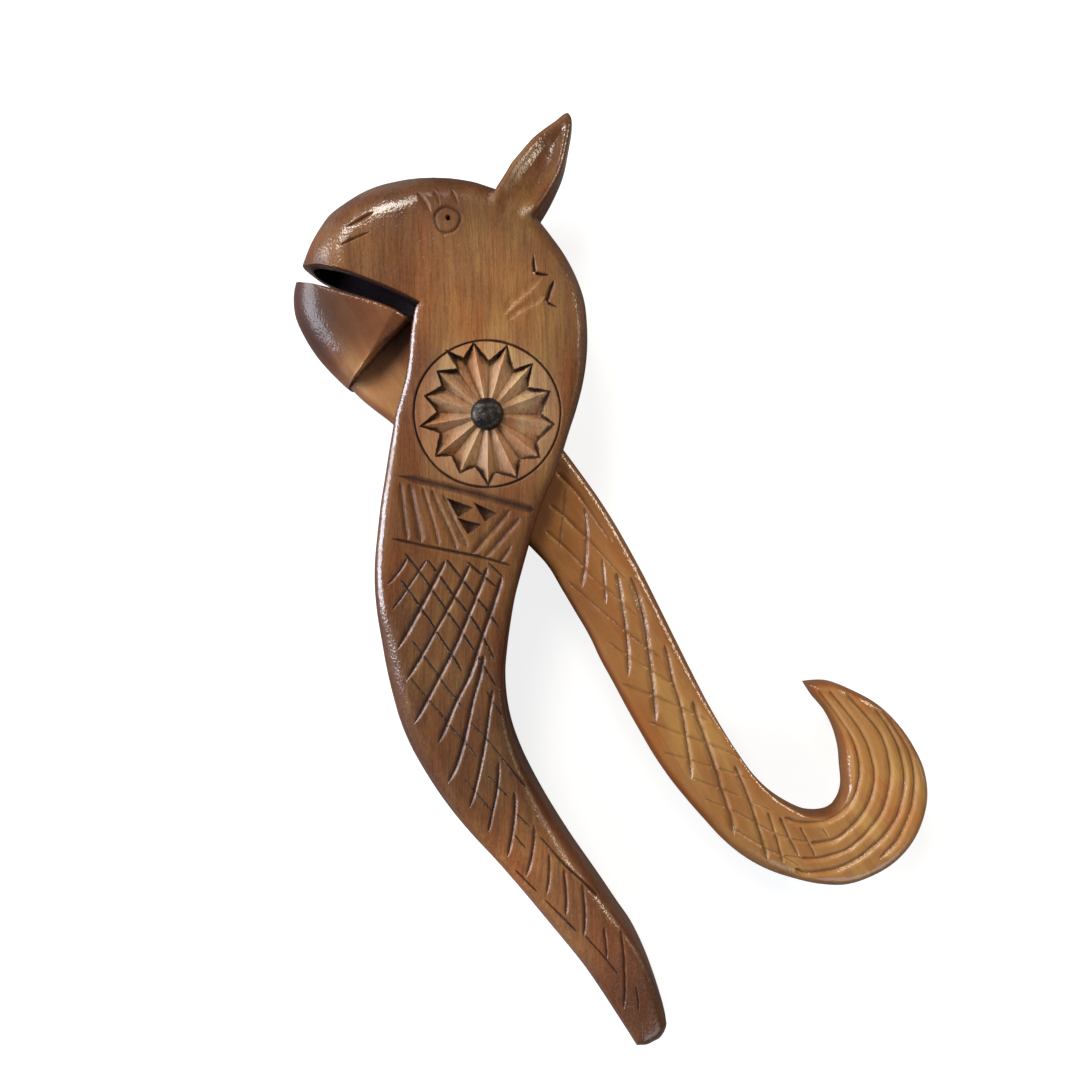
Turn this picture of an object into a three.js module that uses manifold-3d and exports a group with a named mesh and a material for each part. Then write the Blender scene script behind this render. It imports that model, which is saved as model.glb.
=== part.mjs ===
// Lever nutcracker, carved in wood as an animal's head.
// Two levers on one iron rivet. It lies flat on its back: millimetres, +Z up, carved faces up.
// Outlines are given about the rivet's axis (X right, Y towards the ear) and the whole is then
// moved so that the origin is the middle of the footprint, on the surface it lies on.
import * as THREE from 'three';
import { mergeVertices } from 'three/addons/utils/BufferGeometryUtils.js';
import Module from 'manifold-3d';

// ---------- driving dimensions (mm) ----------
const HEAD_T = 24.0;            // thickness of the head lever at the head and the pivot
const HANDLE_END_T = 19.0;      // thickness at the handle's end
const TAPER_Y0 = -25, TAPER_Y1 = -133;  // the handle thins between these two places, on its front
const HOOK_T = 9.2;             // thickness of the tail's hook
const TONGUE_T = 11.0;          // thickness of the jaw lever's tongue and tail
const MID_Z = 12.0;             // mid-plane of the tongue, the mortise and the head
const MORTISE_T = 11.6;         // width of the slot through the head lever
const JAW_T = 23.2;             // thickness of the lower jaw
const RIVET_D = 4.5;            // rivet shank
const HOLE_D = 5.1;             // rivet hole in both levers
const RIVET_HEAD_D = 7.2, RIVET_HEAD_Z = 24.3, RIVET_HEAD_H = 1.7;
const RIVET_TAIL_D = 7.4;
const BURR_D = 11.0, BURR_T = 1.2, BURR_Z = 1.3;
const BORE_D = 11.8, BORE_DEPTH = 2.8;  // counterbore for the burr, in the back
const STEP = 3.1;               // spacing of the sections round an outline
const ORIGIN = [26.40, -34.80]; // middle of the footprint, about the rivet's axis

// ---------- outlines ----------
// [x, y, radius of the rounded edge, roundness: under 1 leaves an arris, how far the back edge stands out]
// each list is one smooth run between two sharp corners
const HEAD_RUNS = [
  // top of the head, from the foot of the ear to the tip of the upper jaw
  [[1.83, 48.52, 4.6, 0.84], [-1.54, 49.68, 4.6, 0.84], [-3.93, 50.36, 4.8, 0.84], [-7.87, 51.03, 5.2, 0.86],
   [-11.87, 51.41, 6, 0.88], [-16.1, 51.67, 7.8, 0.9], [-20.27, 51.12, 8.8, 0.97], [-24.11, 50.11, 8.7, 0.97],
   [-27.72, 48.54, 8.7, 0.97], [-31.26, 46.29, 8.6, 0.97], [-34.48, 43.74, 8.5, 0.97], [-36.74, 40.61, 8.6, 0.98],
   [-38.82, 37.25, 9.5, 1], [-40.75, 33.1, 11, 1]],
  // lip of the upper jaw, back to the corner of the mouth
  [[-40.75, 33.1, 0.5, 0.9, 0], [-38.6, 32.25, 0.45, 0.9, 0.35], [-36.3, 31.9, 0.4, 0.9, 0.8], [-33.6, 31.2, 0.36, 0.9, 1.1],
   [-30.34, 30.35, 0.36, 0.9, 1.1], [-26.52, 29.01, 0.36, 0.9, 1.1], [-22.1, 27.25, 0.36, 0.9, 1.1],
   [-17.66, 25.33, 0.36, 0.9, 1], [-14.4, 23.6, 0.5, 0.9, 0.6]],
  // throat, then the left side of the handle down to its end
  [[-14.4, 23.6, 0.95, 0.92], [-15.4, 22.4, 1.55, 0.97], [-16.4, 16.8, 1.9, 0.97], [-16.8, 12.4, 1.95, 0.97],
   [-17.5, 8, 2, 0.97], [-18.5, 4.1, 2.05, 0.97], [-19.6, 0.3, 2.06, 0.97], [-20.18, -3.13, 2.2, 0.97],
   [-20.91, -7.2, 2.38, 0.97], [-21.84, -13.01, 2.61, 0.98], [-22.78, -18.82, 2.71, 0.98], [-23.45, -24.66, 2.81, 0.99],
   [-24.07, -30.72, 2.97, 0.99], [-24.17, -36.58, 3.17, 0.99], [-23.73, -42.39, 3.88, 0.99], [-22.91, -48.22, 4.85, 0.98],
   [-21.99, -54.09, 5.6, 0.98], [-20.69, -59.85, 5.7, 0.98], [-19.09, -65.52, 5.79, 0.97], [-16.8, -70.92, 5.28, 0.95],
   [-13.89, -76.02, 4.74, 0.94], [-10.52, -81.11, 4.01, 0.92], [-6.93, -85.78, 3.36, 0.9], [-3.07, -90.24, 2.95, 0.88],
   [1.03, -94.56, 2.56, 0.86], [4.98, -99.11, 2.69, 0.86], [8.82, -103.75, 2.94, 0.87], [12.56, -108.46, 3.41, 0.87],
   [16.39, -113.08, 3.27, 0.88], [20.31, -117.98, 2.99, 0.88], [23.76, -122.98, 2.89, 0.89], [27.04, -128.06, 2.79, 0.89],
   [30.12, -132.87, 2.68, 0.9], [31.8, -135.55, 2.6, 0.9]],
  // the handle's end, its right side, the neck and the back of the head
  [[31.8, -135.55, 2.6, 0.92], [34.1, -135.42, 2.61, 0.92], [35.56, -134.74, 2.63, 0.92], [37.21, -133.8, 2.68, 0.91],
   [38.34, -131.87, 2.75, 0.91], [38.42, -129.67, 2.79, 0.9], [36.63, -123.92, 2.62, 0.89], [34.56, -118.5, 2.52, 0.87],
   [31.89, -113.12, 2.62, 0.82], [28.64, -108.36, 2.7, 0.78], [25.37, -103.34, 3.43, 0.77], [22.12, -98.57, 3.89, 0.76],
   [18.73, -93.62, 4.29, 0.74], [15.57, -88.78, 4.23, 0.75], [12.53, -83.87, 3.99, 0.77], [9.57, -78.64, 3.55, 0.82],
   [7, -73.46, 3.03, 0.88], [4.93, -67.83, 2.7, 0.91], [3.75, -62.16, 2.6, 0.94], [3.34, -56.18, 2.6, 0.95],
   [3.79, -50.44, 2.6, 0.96], [4.59, -44.54, 2.6, 0.96], [5.6, -38.89, 2.56, 0.96], [7.11, -33.15, 2.52, 0.97],
   [8.6, -27.8, 2.48, 0.97], [10, -23.2, 2.42, 0.96], [11.65, -18.3, 2.37, 0.96], [13.05, -15.1, 2.33, 0.96],
   [14.45, -12, 2.3, 0.95], [16.2, -6.8, 2.4, 0.95], [17.79, -1.7, 2.2, 0.8], [19.41, 3.31, 2.2, 0.65], [20.63, 8.65, 2.2, 0.55],
   [21.25, 13.88, 2.3, 0.5], [21.28, 19.15, 2.4, 0.5], [20.67, 24.37, 2.4, 0.5], [19.02, 29.28, 2.5, 0.5],
   [16.59, 34.03, 2.6, 0.5], [13.65, 38.25, 2.8, 0.52], [10.22, 42.57, 3.2, 0.56], [6.34, 45.98, 3.6, 0.6],
   [1.83, 48.52, 4.6, 0.84]],
];
const EAR_RUNS = [
  // left side
  [[17.25, 66.1, 1.2, 0.95], [16.45, 65.9, 1.2, 0.95], [15.62, 65.28, 1.2, 0.95], [14.32, 64.03, 1.2, 0.95],
   [12.16, 62.27, 1.2, 0.95], [10, 60.35, 1.2, 0.95], [8.3, 58.39, 1.25, 0.95], [6.38, 55.8, 1.3, 0.95], [4.9, 53.8, 1.3, 0.95],
   [3.84, 51.74, 1.3, 0.95], [2.58, 49.46, 1.4, 0.95], [0.9, 46.6, 1.6, 0.95]],
  // foot, inside the head
  [[0.9, 46.6, 3.4, 0.97], [3.5, 42.5, 3.4, 0.97], [9.5, 41, 3.4, 0.97]],
  // right side
  [[9.5, 41, 1.9, 0.95], [11.3, 43.6, 1.8, 0.95], [13.73, 47.8, 1.7, 0.95], [16.15, 53.35, 1.6, 0.95], [17.4, 59.3, 1.4, 0.95],
   [18.05, 63.3, 1.2, 0.95], [17.95, 65, 1.2, 0.95], [17.25, 66.1, 1.2, 0.95]],
];
const JAW_RUNS = [
  // lower jaw: outer side
  [[-41.75, 29, 8, 1], [-42.45, 25.9, 9.3, 1], [-42.05, 21.7, 9.8, 1], [-40.21, 17.5, 9.8, 1], [-37.87, 13.79, 9.8, 1],
   [-35.04, 10.45, 9.4, 1], [-31.91, 7.37, 10, 1], [-30.6, 6.3, 10.5, 1]],
  // shoulder
  [[-30.6, 6.3, 0.7, 0.85], [-28.4, 8.4, 0.7, 0.85], [-26.5, 10.3, 0.7, 0.85], [-24.44, 12.77, 0.7, 0.85],
   [-22.09, 15.43, 0.7, 0.85], [-19.71, 17.49, 0.7, 0.85], [-16.75, 20.75, 0.7, 0.85]],
  // lip
  [[-16.75, 20.75, 0.9, 0.9], [-19.17, 22.28, 0.9, 0.9], [-23.03, 23.9, 0.9, 0.9], [-26.86, 25.1, 0.9, 0.9],
   [-30.39, 26.13, 0.9, 0.9], [-33.07, 26.93, 0.9, 0.9], [-35.8, 27.6, 0.9, 0.9], [-39.1, 28.35, 0.9, 0.9],
   [-41.75, 29, 0.9, 0.9]],
];
const TAIL_RUNS = [
  // tongue inside the jaw and through the mortise, then the tail's lower side and the outside of the hook
  [[-36, 15.5, 3, 1], [-34, 11.4, 3, 0.99], [-31.4, 7.9, 3, 0.99], [-28.34, 4.64, 3, 0.98], [-24.85, 1.77, 3, 0.98],
   [-21.4, -0.9, 3, 0.97], [-14.5, -7.2, 2.6, 0.96], [-6.5, -13.4, 2.4, 0.95], [1.5, -20.3, 2.2, 0.94], [8.87, -27.82, 2, 0.93],
   [12.8, -32.1, 2.02, 0.93], [15.86, -37.18, 2.04, 0.93], [18.88, -42.28, 2.06, 0.93], [21.88, -47.4, 2.08, 0.93],
   [24.42, -52.75, 2.1, 0.93], [27.27, -57.95, 2.23, 0.94], [30.06, -63.18, 2.35, 0.94], [32.98, -68.34, 2.48, 0.95],
   [35.96, -73.46, 2.6, 0.96], [39.3, -78.35, 2.87, 0.97], [43, -82.98, 3.13, 0.97], [46.9, -87.45, 3.4, 0.98],
   [50.91, -91.78, 3.4, 0.98], [55.48, -95.52, 3.4, 0.97], [60.63, -98.35, 3.4, 0.97], [66.17, -100.2, 3, 0.96],
   [71.86, -101.4, 2.6, 0.96], [77.63, -101.49, 2.3, 0.95], [83.06, -99.69, 2, 0.95], [87.92, -96.82, 1.98, 0.94],
   [91.78, -92.73, 1.97, 0.93], [94.28, -87.71, 1.95, 0.93], [95.39, -82.19, 1.93, 0.93], [94.71, -76.48, 1.92, 0.93],
   [92.37, -71.16, 1.9, 0.93], [89.05, -66.36, 1.98, 0.93], [84.83, -62.27, 2.05, 0.93], [79.68, -59.39, 2.12, 0.93],
   [74.21, -57.34, 2.2, 0.93], [69.15, -57.65, 1.8, 0.93]],
  // inside of the hook
  [[69.15, -57.65, 1.8, 0.9], [71.06, -60.73, 1.8, 0.84], [73.76, -63.97, 1.8, 0.78], [75.76, -67.73, 1.8, 0.78],
   [77.01, -72.07, 1.8, 0.78], [77.42, -76.34, 1.8, 0.78], [77.75, -80.2, 1.65, 0.78], [77.2, -82.9, 1.5, 0.78],
   [76, -84.9, 1.5, 0.78]],
  // the tail's upper side, back through the mortise to the shoulder
  [[76, -84.9, 1.5, 0.8], [74.4, -85.9, 1.4, 0.85], [71.4, -86.25, 1.3, 0.85], [68.2, -85.5, 1.3, 0.85],
   [62.78, -82.44, 1.2, 0.85], [58.15, -78.12, 1, 0.85], [54.36, -73.01, 0.9, 0.82], [50.93, -67.65, 1, 0.8],
   [47.76, -62.12, 1.4, 0.8], [44.84, -56.47, 1.9, 0.8], [41.89, -50.58, 2.2, 0.84], [39.06, -44.87, 2.4, 0.89],
   [36.24, -39.16, 2.4, 0.93], [33.37, -33.48, 2.38, 0.95], [30.33, -27.89, 2.37, 0.97], [27.15, -22.37, 2.35, 0.97],
   [23.7, -17.01, 2.33, 0.97], [20.01, -11.83, 2.32, 0.97], [16.22, -6.73, 2.3, 0.97], [11.3, -0.6, 2.35, 0.97],
   [6, 5.2, 2.4, 0.97], [-0.5, 10.8, 2.3, 0.97], [-8, 15.9, 2.2, 0.97], [-13.2, 19.8, 2.1, 0.97], [-16.3, 21.5, 2, 0.97]],
  // the tongue's end inside the jaw
  [[-16.3, 21.5, 0.5, 0.95], [-19.2, 21.5, 0.5, 0.95], [-24.5, 22.2, 1, 0.95], [-32.5, 21.5, 1, 0.95], [-36, 15.5, 2, 0.95]],
];
const DROOP = [-0.353, -0.936];  // the way the lip's back edge stands out past its front edge
// plan of the mortise, past both sides of the head lever
const MORTISE = [[-14.5, 23.1], [-25.0, 23.0], [-33.0, -12.0], [-23.2, -15.2], [-8.0, -24.2], [8.4, -35.2], [14.0, -36.0],
  [34.0, -10.0], [27.0, 3.6], [20.0, 6.4]];

// ---------- helpers ----------
const wasm = await Module();
wasm.setup();

function toSolid(geometry) {
  let g = geometry.index ? geometry.toNonIndexed() : geometry.clone();
  g.deleteAttribute('normal');
  if (g.getAttribute('uv')) g.deleteAttribute('uv');
  g = mergeVertices(g, 1e-4);
  return new wasm.Manifold(new wasm.Mesh({
    numProp: 3,
    vertProperties: new Float32Array(g.getAttribute('position').array),
    triVerts: new Uint32Array(g.index.array),
  }));
}

function toGeometry(solid) {
  const m = solid.getMesh();
  const g = new THREE.BufferGeometry();
  g.setAttribute('position', new THREE.BufferAttribute(new Float32Array(m.vertProperties), 3));
  g.setIndex(new THREE.BufferAttribute(new Uint32Array(m.triVerts), 1));
  g.computeVertexNormals();
  return g;
}

// points round a closed outline made of smooth runs, each with its edge radius
function sampleRuns(runs, step) {
  const out = [];
  for (const run of runs) {
    const curve = new THREE.SplineCurve(run.map(([x, y]) => new THREE.Vector2(x, y)));
    const spans = run.length - 1;
    for (let i = 0; i < spans; i++) {
      const len = Math.hypot(run[i + 1][0] - run[i][0], run[i + 1][1] - run[i][1]);
      const n = Math.max(1, Math.round(len / step));
      for (let k = 0; k < n; k++) {
        const p = curve.getPoint((i + k / n) / spans);
        out.push({ x: p.x, y: p.y, r: THREE.MathUtils.lerp(run[i][2], run[i + 1][2], k / n),
          k: THREE.MathUtils.lerp(run[i][3], run[i + 1][3], k / n),
          droop: THREE.MathUtils.lerp(run[i][4] ?? 0, run[i + 1][4] ?? 0, k / n) });
      }
    }
  }
  return out;
}

// inward normals, and how far each point may move in before it meets the far side
function prepareOutline(pts) {
  const n = pts.length;
  for (let i = 0; i < n; i++) {
    const a = pts[(i + n - 1) % n], b = pts[(i + 1) % n];
    const la = Math.hypot(pts[i].x - a.x, pts[i].y - a.y), lb = Math.hypot(b.x - pts[i].x, b.y - pts[i].y);
    const tx = (pts[i].x - a.x) / la + (b.x - pts[i].x) / lb, ty = (pts[i].y - a.y) / la + (b.y - pts[i].y) / lb;
    const l = Math.hypot(tx, ty) || 1;
    pts[i].nx = -ty / l; pts[i].ny = tx / l;
  }
  for (let i = 0; i < n; i++) {
    let m = Infinity;
    for (let j = 0; j < n; j++) {
      if (j === i) continue;
      const qx = pts[j].x - pts[i].x, qy = pts[j].y - pts[i].y;
      const dot = qx * pts[i].nx + qy * pts[i].ny;
      if (dot > 1e-6) m = Math.min(m, (qx * qx + qy * qy) / (2 * dot));
    }
    pts[i].lim = Math.min(pts[i].r, 0.82 * m);
  }
  // the inset changes gently from point to point, so that the inner rings don't fold
  for (let pass = 0; pass < n; pass++) {
    let changed = false;
    for (let i = 0; i < n; i++) {
      const b = pts[(i + 1) % n], d = Math.hypot(b.x - pts[i].x, b.y - pts[i].y) * 0.9;
      if (pts[i].lim > b.lim + d) { pts[i].lim = b.lim + d; changed = true; }
      if (b.lim > pts[i].lim + d) { b.lim = pts[i].lim + d; changed = true; }
    }
    if (!changed) break;
  }
  return pts;
}

// a carved plate: the outline all through its thickness, its edges rounded to the front and to the back
function carvedPlate(runs, mid, half, step = STEP, rings = [0, 0.12, 0.45, 1]) {
  const pts = prepareOutline(sampleRuns(runs, step));
  const n = pts.length;
  const pos = [], idx = [];
  const ring = (part, side) => {
    const start = pos.length / 3;
    for (const p of pts) {
      const d = part * p.lim, t = Math.min(1, d / p.r);
      const x = p.x + p.nx * d, y = p.y + p.ny * d, h = half(x, y);
      const full = Math.sqrt(1 - (1 - p.k) ** 2);
      const drop = Math.min(p.r / p.k * full, h - 0.9);
      const back = side < 0 ? p.droop : 0;
      pos.push(x + back * DROOP[0], y + back * DROOP[1], mid(x, y) + side * (h - drop * (1 - Math.sqrt(1 - (1 - p.k * t) ** 2) / full)));
    }
    return start;
  };
  const band = (lo, hi) => {
    for (let i = 0; i < n; i++) {
      const j = (i + 1) % n;
      idx.push(lo + i, lo + j, hi + j, lo + i, hi + j, hi + i);
    }
  };
  const up = rings.map((part) => ring(part, 1));
  const down = rings.map((part) => ring(part, -1));
  band(down[0], up[0]);
  for (let i = 1; i < rings.length; i++) { band(up[i - 1], up[i]); band(down[i], down[i - 1]); }
  const top = up[rings.length - 1], last = down[rings.length - 1];
  const contour = [];
  for (let i = 0; i < n; i++) contour.push(new THREE.Vector2(pos[3 * (top + i)], pos[3 * (top + i) + 1]));
  for (const [a, q, r] of THREE.ShapeUtils.triangulateShape(contour, [])) {
    const [b, c] = THREE.ShapeUtils.area([contour[a], contour[q], contour[r]]) > 0 ? [q, r] : [r, q];
    idx.push(top + a, top + b, top + c);
    idx.push(last + a, last + c, last + b);
  }
  const g = new THREE.BufferGeometry();
  g.setAttribute('position', new THREE.BufferAttribute(new Float32Array(pos), 3));
  g.setIndex(idx);
  return toSolid(g);
}

function slab(points, z0, z1) {
  const shape = new THREE.Shape(points.map(([x, y]) => new THREE.Vector2(x, y)));
  const g = new THREE.ExtrudeGeometry(shape, { depth: z1 - z0, bevelEnabled: false, steps: 1 });
  g.translate(0, 0, z0);
  return toSolid(g);
}

function post(d, z0, z1, sides = 24) {
  const g = new THREE.CylinderGeometry(d / 2, d / 2, z1 - z0, sides);
  g.rotateX(Math.PI / 2);
  g.translate(0, 0, (z0 + z1) / 2);
  return toSolid(g);
}

function lathe(profile, sides = 24) {
  const g = new THREE.LatheGeometry(profile.map(([r, z]) => new THREE.Vector2(r, z)), sides);
  g.rotateX(Math.PI / 2);
  return g;
}

// a scooped hollow: a stretched ball, somewhat squarer than round
function scoop(cx, cy, cz, len, deep, wide, turn, power) {
  const g = new THREE.SphereGeometry(1, 20, 12);
  const at = g.getAttribute('position');
  for (let i = 0; i < at.count; i++) {
    const x = at.getX(i), y = at.getY(i), z = at.getZ(i);
    const l = (Math.abs(x) ** power + Math.abs(y) ** power + Math.abs(z) ** power) ** (1 / power);
    at.setXYZ(i, x / l, y / l, z / l);
  }
  g.scale(len / 2, deep, wide / 2);
  g.rotateZ(THREE.MathUtils.degToRad(turn));
  g.translate(cx, cy, cz);
  return toSolid(g);
}

function mesh(name, geometry, color, roughness, metalness) {
  const m = new THREE.Mesh(geometry, new THREE.MeshStandardMaterial({ color, roughness, metalness }));
  m.name = name;
  return m;
}

// ---------- head lever ----------
const headTop = (x, y) => THREE.MathUtils.mapLinear(THREE.MathUtils.clamp(y, TAPER_Y1, TAPER_Y0), TAPER_Y1, TAPER_Y0, HANDLE_END_T, HEAD_T);
const headHalf = (x, y) => headTop(x, y) / 2;
// along the ear, from its foot to its tip
const alongEar = (x, y) => THREE.MathUtils.clamp(((x - 6) * 0.488 + (y - 46) * 0.873) / 24, 0, 1);
// its front is level with the face at its foot; its back is further in
const earFront = (x, y) => HEAD_T / 2 - 7.0 * alongEar(x, y) ** 0.9;
const earBack = (x, y) => THREE.MathUtils.lerp(2.6, 1.4, alongEar(x, y));
const earMid = (x, y) => MID_Z + (earFront(x, y) - earBack(x, y)) / 2;
const earHalf = (x, y) => (earFront(x, y) + earBack(x, y)) / 2;

let head = carvedPlate(HEAD_RUNS, headHalf, headHalf);
head = head.add(carvedPlate(EAR_RUNS, earMid, earHalf));
head = head.subtract(slab(MORTISE, MID_Z - MORTISE_T / 2, MID_Z + MORTISE_T / 2));
head = head.subtract(post(HOLE_D, -2, HEAD_T + 2));
head = head.subtract(post(BORE_D, -2, BORE_DEPTH, 32));
head = head.subtract(scoop(-27.2, 28.2, MID_Z - 0.4, 23.8, 4.2, 16.4, -20.6, 3));

// ---------- jaw lever ----------
const jawHalf = () => JAW_T / 2;
// the tail thins out towards its hook
const tongueHalf = (x) => THREE.MathUtils.lerp(TONGUE_T / 2, HOOK_T / 2, THREE.MathUtils.smoothstep(x, 42, 78));
let jaw = carvedPlate(TAIL_RUNS, () => MID_Z, tongueHalf);
jaw = jaw.add(carvedPlate(JAW_RUNS, () => MID_Z, jawHalf, 2.6));
jaw = jaw.subtract(post(HOLE_D, -2, HEAD_T + 2));
jaw = jaw.subtract(scoop(-28.9, 26.9, MID_Z, 19.0, 3.4, 17.0, -17, 2.3));

// ---------- rivet and burr ----------
const rh = RIVET_HEAD_D / 2, rs = RIVET_D / 2, rt = RIVET_TAIL_D / 2;
const rivet = lathe([
  [0, 0.2], [rt - 1.1, 0.2], [rt - 0.3, 0.45], [rt, 0.75], [rt, 1.0], [rs, 1.0],
  [rs, RIVET_HEAD_Z], [rh, RIVET_HEAD_Z], [rh, RIVET_HEAD_Z + 0.5], [rh - 0.35, RIVET_HEAD_Z + 1.15],
  [rh - 1.1, RIVET_HEAD_Z + 1.55], [0, RIVET_HEAD_Z + RIVET_HEAD_H],
]);
const burr = lathe([
  [HOLE_D / 2, BURR_Z], [BURR_D / 2 - 0.3, BURR_Z], [BURR_D / 2, BURR_Z + 0.3], [BURR_D / 2, BURR_Z + BURR_T - 0.1],
  [BURR_D / 2 - 0.1, BURR_Z + BURR_T], [HOLE_D / 2, BURR_Z + BURR_T], [HOLE_D / 2, BURR_Z],
], 28);

const nutcracker = new THREE.Group();
const body = new THREE.Group();
body.position.set(-ORIGIN[0], -ORIGIN[1], 0);
nutcracker.add(body);

body.add(mesh('head_lever', toGeometry(head), 0x8a5228, 0.36, 0));
const rocker = new THREE.Group();          // everything that turns on the rivet
rocker.add(mesh('jaw_lever', toGeometry(jaw), 0xa9662c, 0.34, 0));
body.add(rocker);
body.add(mesh('pivot_rivet', toGeometry(toSolid(rivet)), 0x2b241f, 0.5, 0.9));
body.add(mesh('rivet_burr', toGeometry(toSolid(burr)), 0x3a322b, 0.55, 0.9));

export default nutcracker;
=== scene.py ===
import math

import bmesh
import bpy
import numpy as np
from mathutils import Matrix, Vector, kdtree, noise
from mathutils.geometry import delaunay_2d_cdt


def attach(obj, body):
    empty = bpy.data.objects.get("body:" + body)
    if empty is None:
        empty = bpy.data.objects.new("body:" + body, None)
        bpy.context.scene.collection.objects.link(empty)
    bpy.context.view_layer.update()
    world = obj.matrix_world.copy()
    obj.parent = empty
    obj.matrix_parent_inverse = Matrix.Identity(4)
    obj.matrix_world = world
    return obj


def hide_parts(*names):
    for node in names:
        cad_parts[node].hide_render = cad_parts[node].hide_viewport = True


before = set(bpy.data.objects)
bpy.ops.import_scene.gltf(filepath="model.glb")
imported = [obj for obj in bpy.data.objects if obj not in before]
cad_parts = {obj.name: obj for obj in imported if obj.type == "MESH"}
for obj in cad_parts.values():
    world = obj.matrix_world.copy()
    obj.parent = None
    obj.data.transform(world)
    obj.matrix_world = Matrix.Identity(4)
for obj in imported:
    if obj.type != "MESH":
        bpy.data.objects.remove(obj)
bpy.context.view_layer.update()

# ---------------------------------------------------------------- sizes (mm, about the rivet's axis)
ORIGIN = (26.40, -34.80)          # the row frame's origin, about the rivet's axis
HEAD_T, END_T = 24.0, 19.0        # the head lever's thickness, and at the handle's end
TAPER = (-133.0, -25.0)           # the handle thins between these two places
MID = 12.0
MORTISE_T, TONGUE_T, HOOK_T, JAW_T = 11.6, 11.0, 9.2, 23.2
HOLE_D, BORE_D, BORE_DEPTH = 5.1, 11.8, 2.8

# ---------------------------------------------------------------- outlines: x, y, edge radius, roundness of the edge
HEAD_RUNS = [
    [
        (1.83, 48.52, 4.60, 0.84), (-1.54, 49.68, 4.60, 0.84), (-3.93, 50.36, 4.80, 0.84), (-7.87, 51.03, 5.20, 0.86),
        (-11.87, 51.41, 6.00, 0.88), (-16.1, 51.67, 7.80, 0.90), (-20.27, 51.12, 8.80, 0.97), (-24.11, 50.11, 8.70, 0.97),
        (-27.72, 48.54, 8.70, 0.97), (-31.26, 46.29, 8.60, 0.97), (-34.48, 43.74, 8.50, 0.97), (-36.74, 40.61, 8.60, 0.98),
        (-38.82, 37.25, 9.50, 1.00), (-40.75, 33.1, 11.00, 1.00),
    ],
    [
        (-40.75, 33.1, 0.50, 0.90), (-38.6, 32.25, 0.45, 0.90), (-36.3, 31.9, 0.40, 0.90), (-33.6, 31.2, 0.36, 0.90),
        (-30.34, 30.35, 0.36, 0.90), (-26.52, 29.01, 0.36, 0.90), (-22.1, 27.25, 0.36, 0.90), (-17.66, 25.33, 0.36, 0.90),
        (-14.4, 23.6, 0.50, 0.90),
    ],
    [
        (-14.4, 23.6, 0.95, 0.92), (-15.4, 22.4, 1.55, 0.97), (-16.4, 16.8, 1.90, 0.97), (-16.8, 12.4, 1.95, 0.97),
        (-17.5, 8, 2.00, 0.97), (-18.5, 4.1, 2.05, 0.97), (-19.6, 0.3, 2.06, 0.97), (-20.18, -3.13, 2.20, 0.97),
        (-20.91, -7.2, 2.38, 0.97), (-21.84, -13.01, 2.61, 0.98), (-22.78, -18.82, 2.71, 0.98), (-23.45, -24.66, 2.81, 0.99),
        (-24.07, -30.72, 2.97, 0.99), (-24.17, -36.58, 3.17, 0.99), (-23.73, -42.39, 3.88, 0.99), (-22.91, -48.22, 4.85, 0.98),
        (-21.99, -54.09, 5.60, 0.98), (-20.69, -59.85, 5.70, 0.98), (-19.09, -65.52, 5.79, 0.97), (-16.8, -70.92, 5.28, 0.95),
        (-13.89, -76.02, 4.74, 0.94), (-10.52, -81.11, 4.01, 0.92), (-6.93, -85.78, 3.36, 0.90), (-3.07, -90.24, 2.95, 0.88),
        (1.03, -94.56, 2.56, 0.86), (4.98, -99.11, 2.69, 0.86), (8.82, -103.75, 2.94, 0.87), (12.56, -108.46, 3.41, 0.87),
        (16.39, -113.08, 3.27, 0.88), (20.31, -117.98, 2.99, 0.88), (23.76, -122.98, 2.89, 0.89), (27.04, -128.06, 2.79, 0.89),
        (30.12, -132.87, 2.68, 0.90), (31.8, -135.55, 2.60, 0.90),
    ],
    [
        (31.8, -135.55, 2.60, 0.92), (34.1, -135.42, 2.61, 0.92), (35.56, -134.74, 2.63, 0.92), (37.21, -133.8, 2.68, 0.91),
        (38.34, -131.87, 2.75, 0.91), (38.42, -129.67, 2.79, 0.90), (36.63, -123.92, 2.62, 0.89), (34.56, -118.5, 2.52, 0.87),
        (31.89, -113.12, 2.62, 0.82), (28.64, -108.36, 2.70, 0.78), (25.37, -103.34, 3.43, 0.77), (22.12, -98.57, 3.89, 0.76),
        (18.73, -93.62, 4.29, 0.74), (15.57, -88.78, 4.23, 0.75), (12.53, -83.87, 3.99, 0.77), (9.57, -78.64, 3.55, 0.82),
        (7, -73.46, 3.03, 0.88), (4.93, -67.83, 2.70, 0.91), (3.75, -62.16, 2.60, 0.94), (3.34, -56.18, 2.60, 0.95),
        (3.79, -50.44, 2.60, 0.96), (4.59, -44.54, 2.60, 0.96), (5.6, -38.89, 2.56, 0.96), (7.11, -33.15, 2.52, 0.97),
        (8.6, -27.8, 2.48, 0.97), (10, -23.2, 2.42, 0.96), (11.65, -18.3, 2.37, 0.96), (13.05, -15.1, 2.33, 0.96),
        (14.45, -12, 2.30, 0.95), (16.2, -6.8, 2.40, 0.95), (17.79, -1.7, 2.20, 0.80), (19.41, 3.31, 2.20, 0.65),
        (20.63, 8.65, 2.20, 0.55), (21.25, 13.88, 2.30, 0.50), (21.28, 19.15, 2.40, 0.50), (20.67, 24.37, 2.40, 0.50),
        (19.02, 29.28, 2.50, 0.50), (16.59, 34.03, 2.60, 0.50), (13.65, 38.25, 2.80, 0.52), (10.22, 42.57, 3.20, 0.56),
        (6.34, 45.98, 3.60, 0.60), (1.83, 48.52, 4.60, 0.84),
    ],
]
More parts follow.
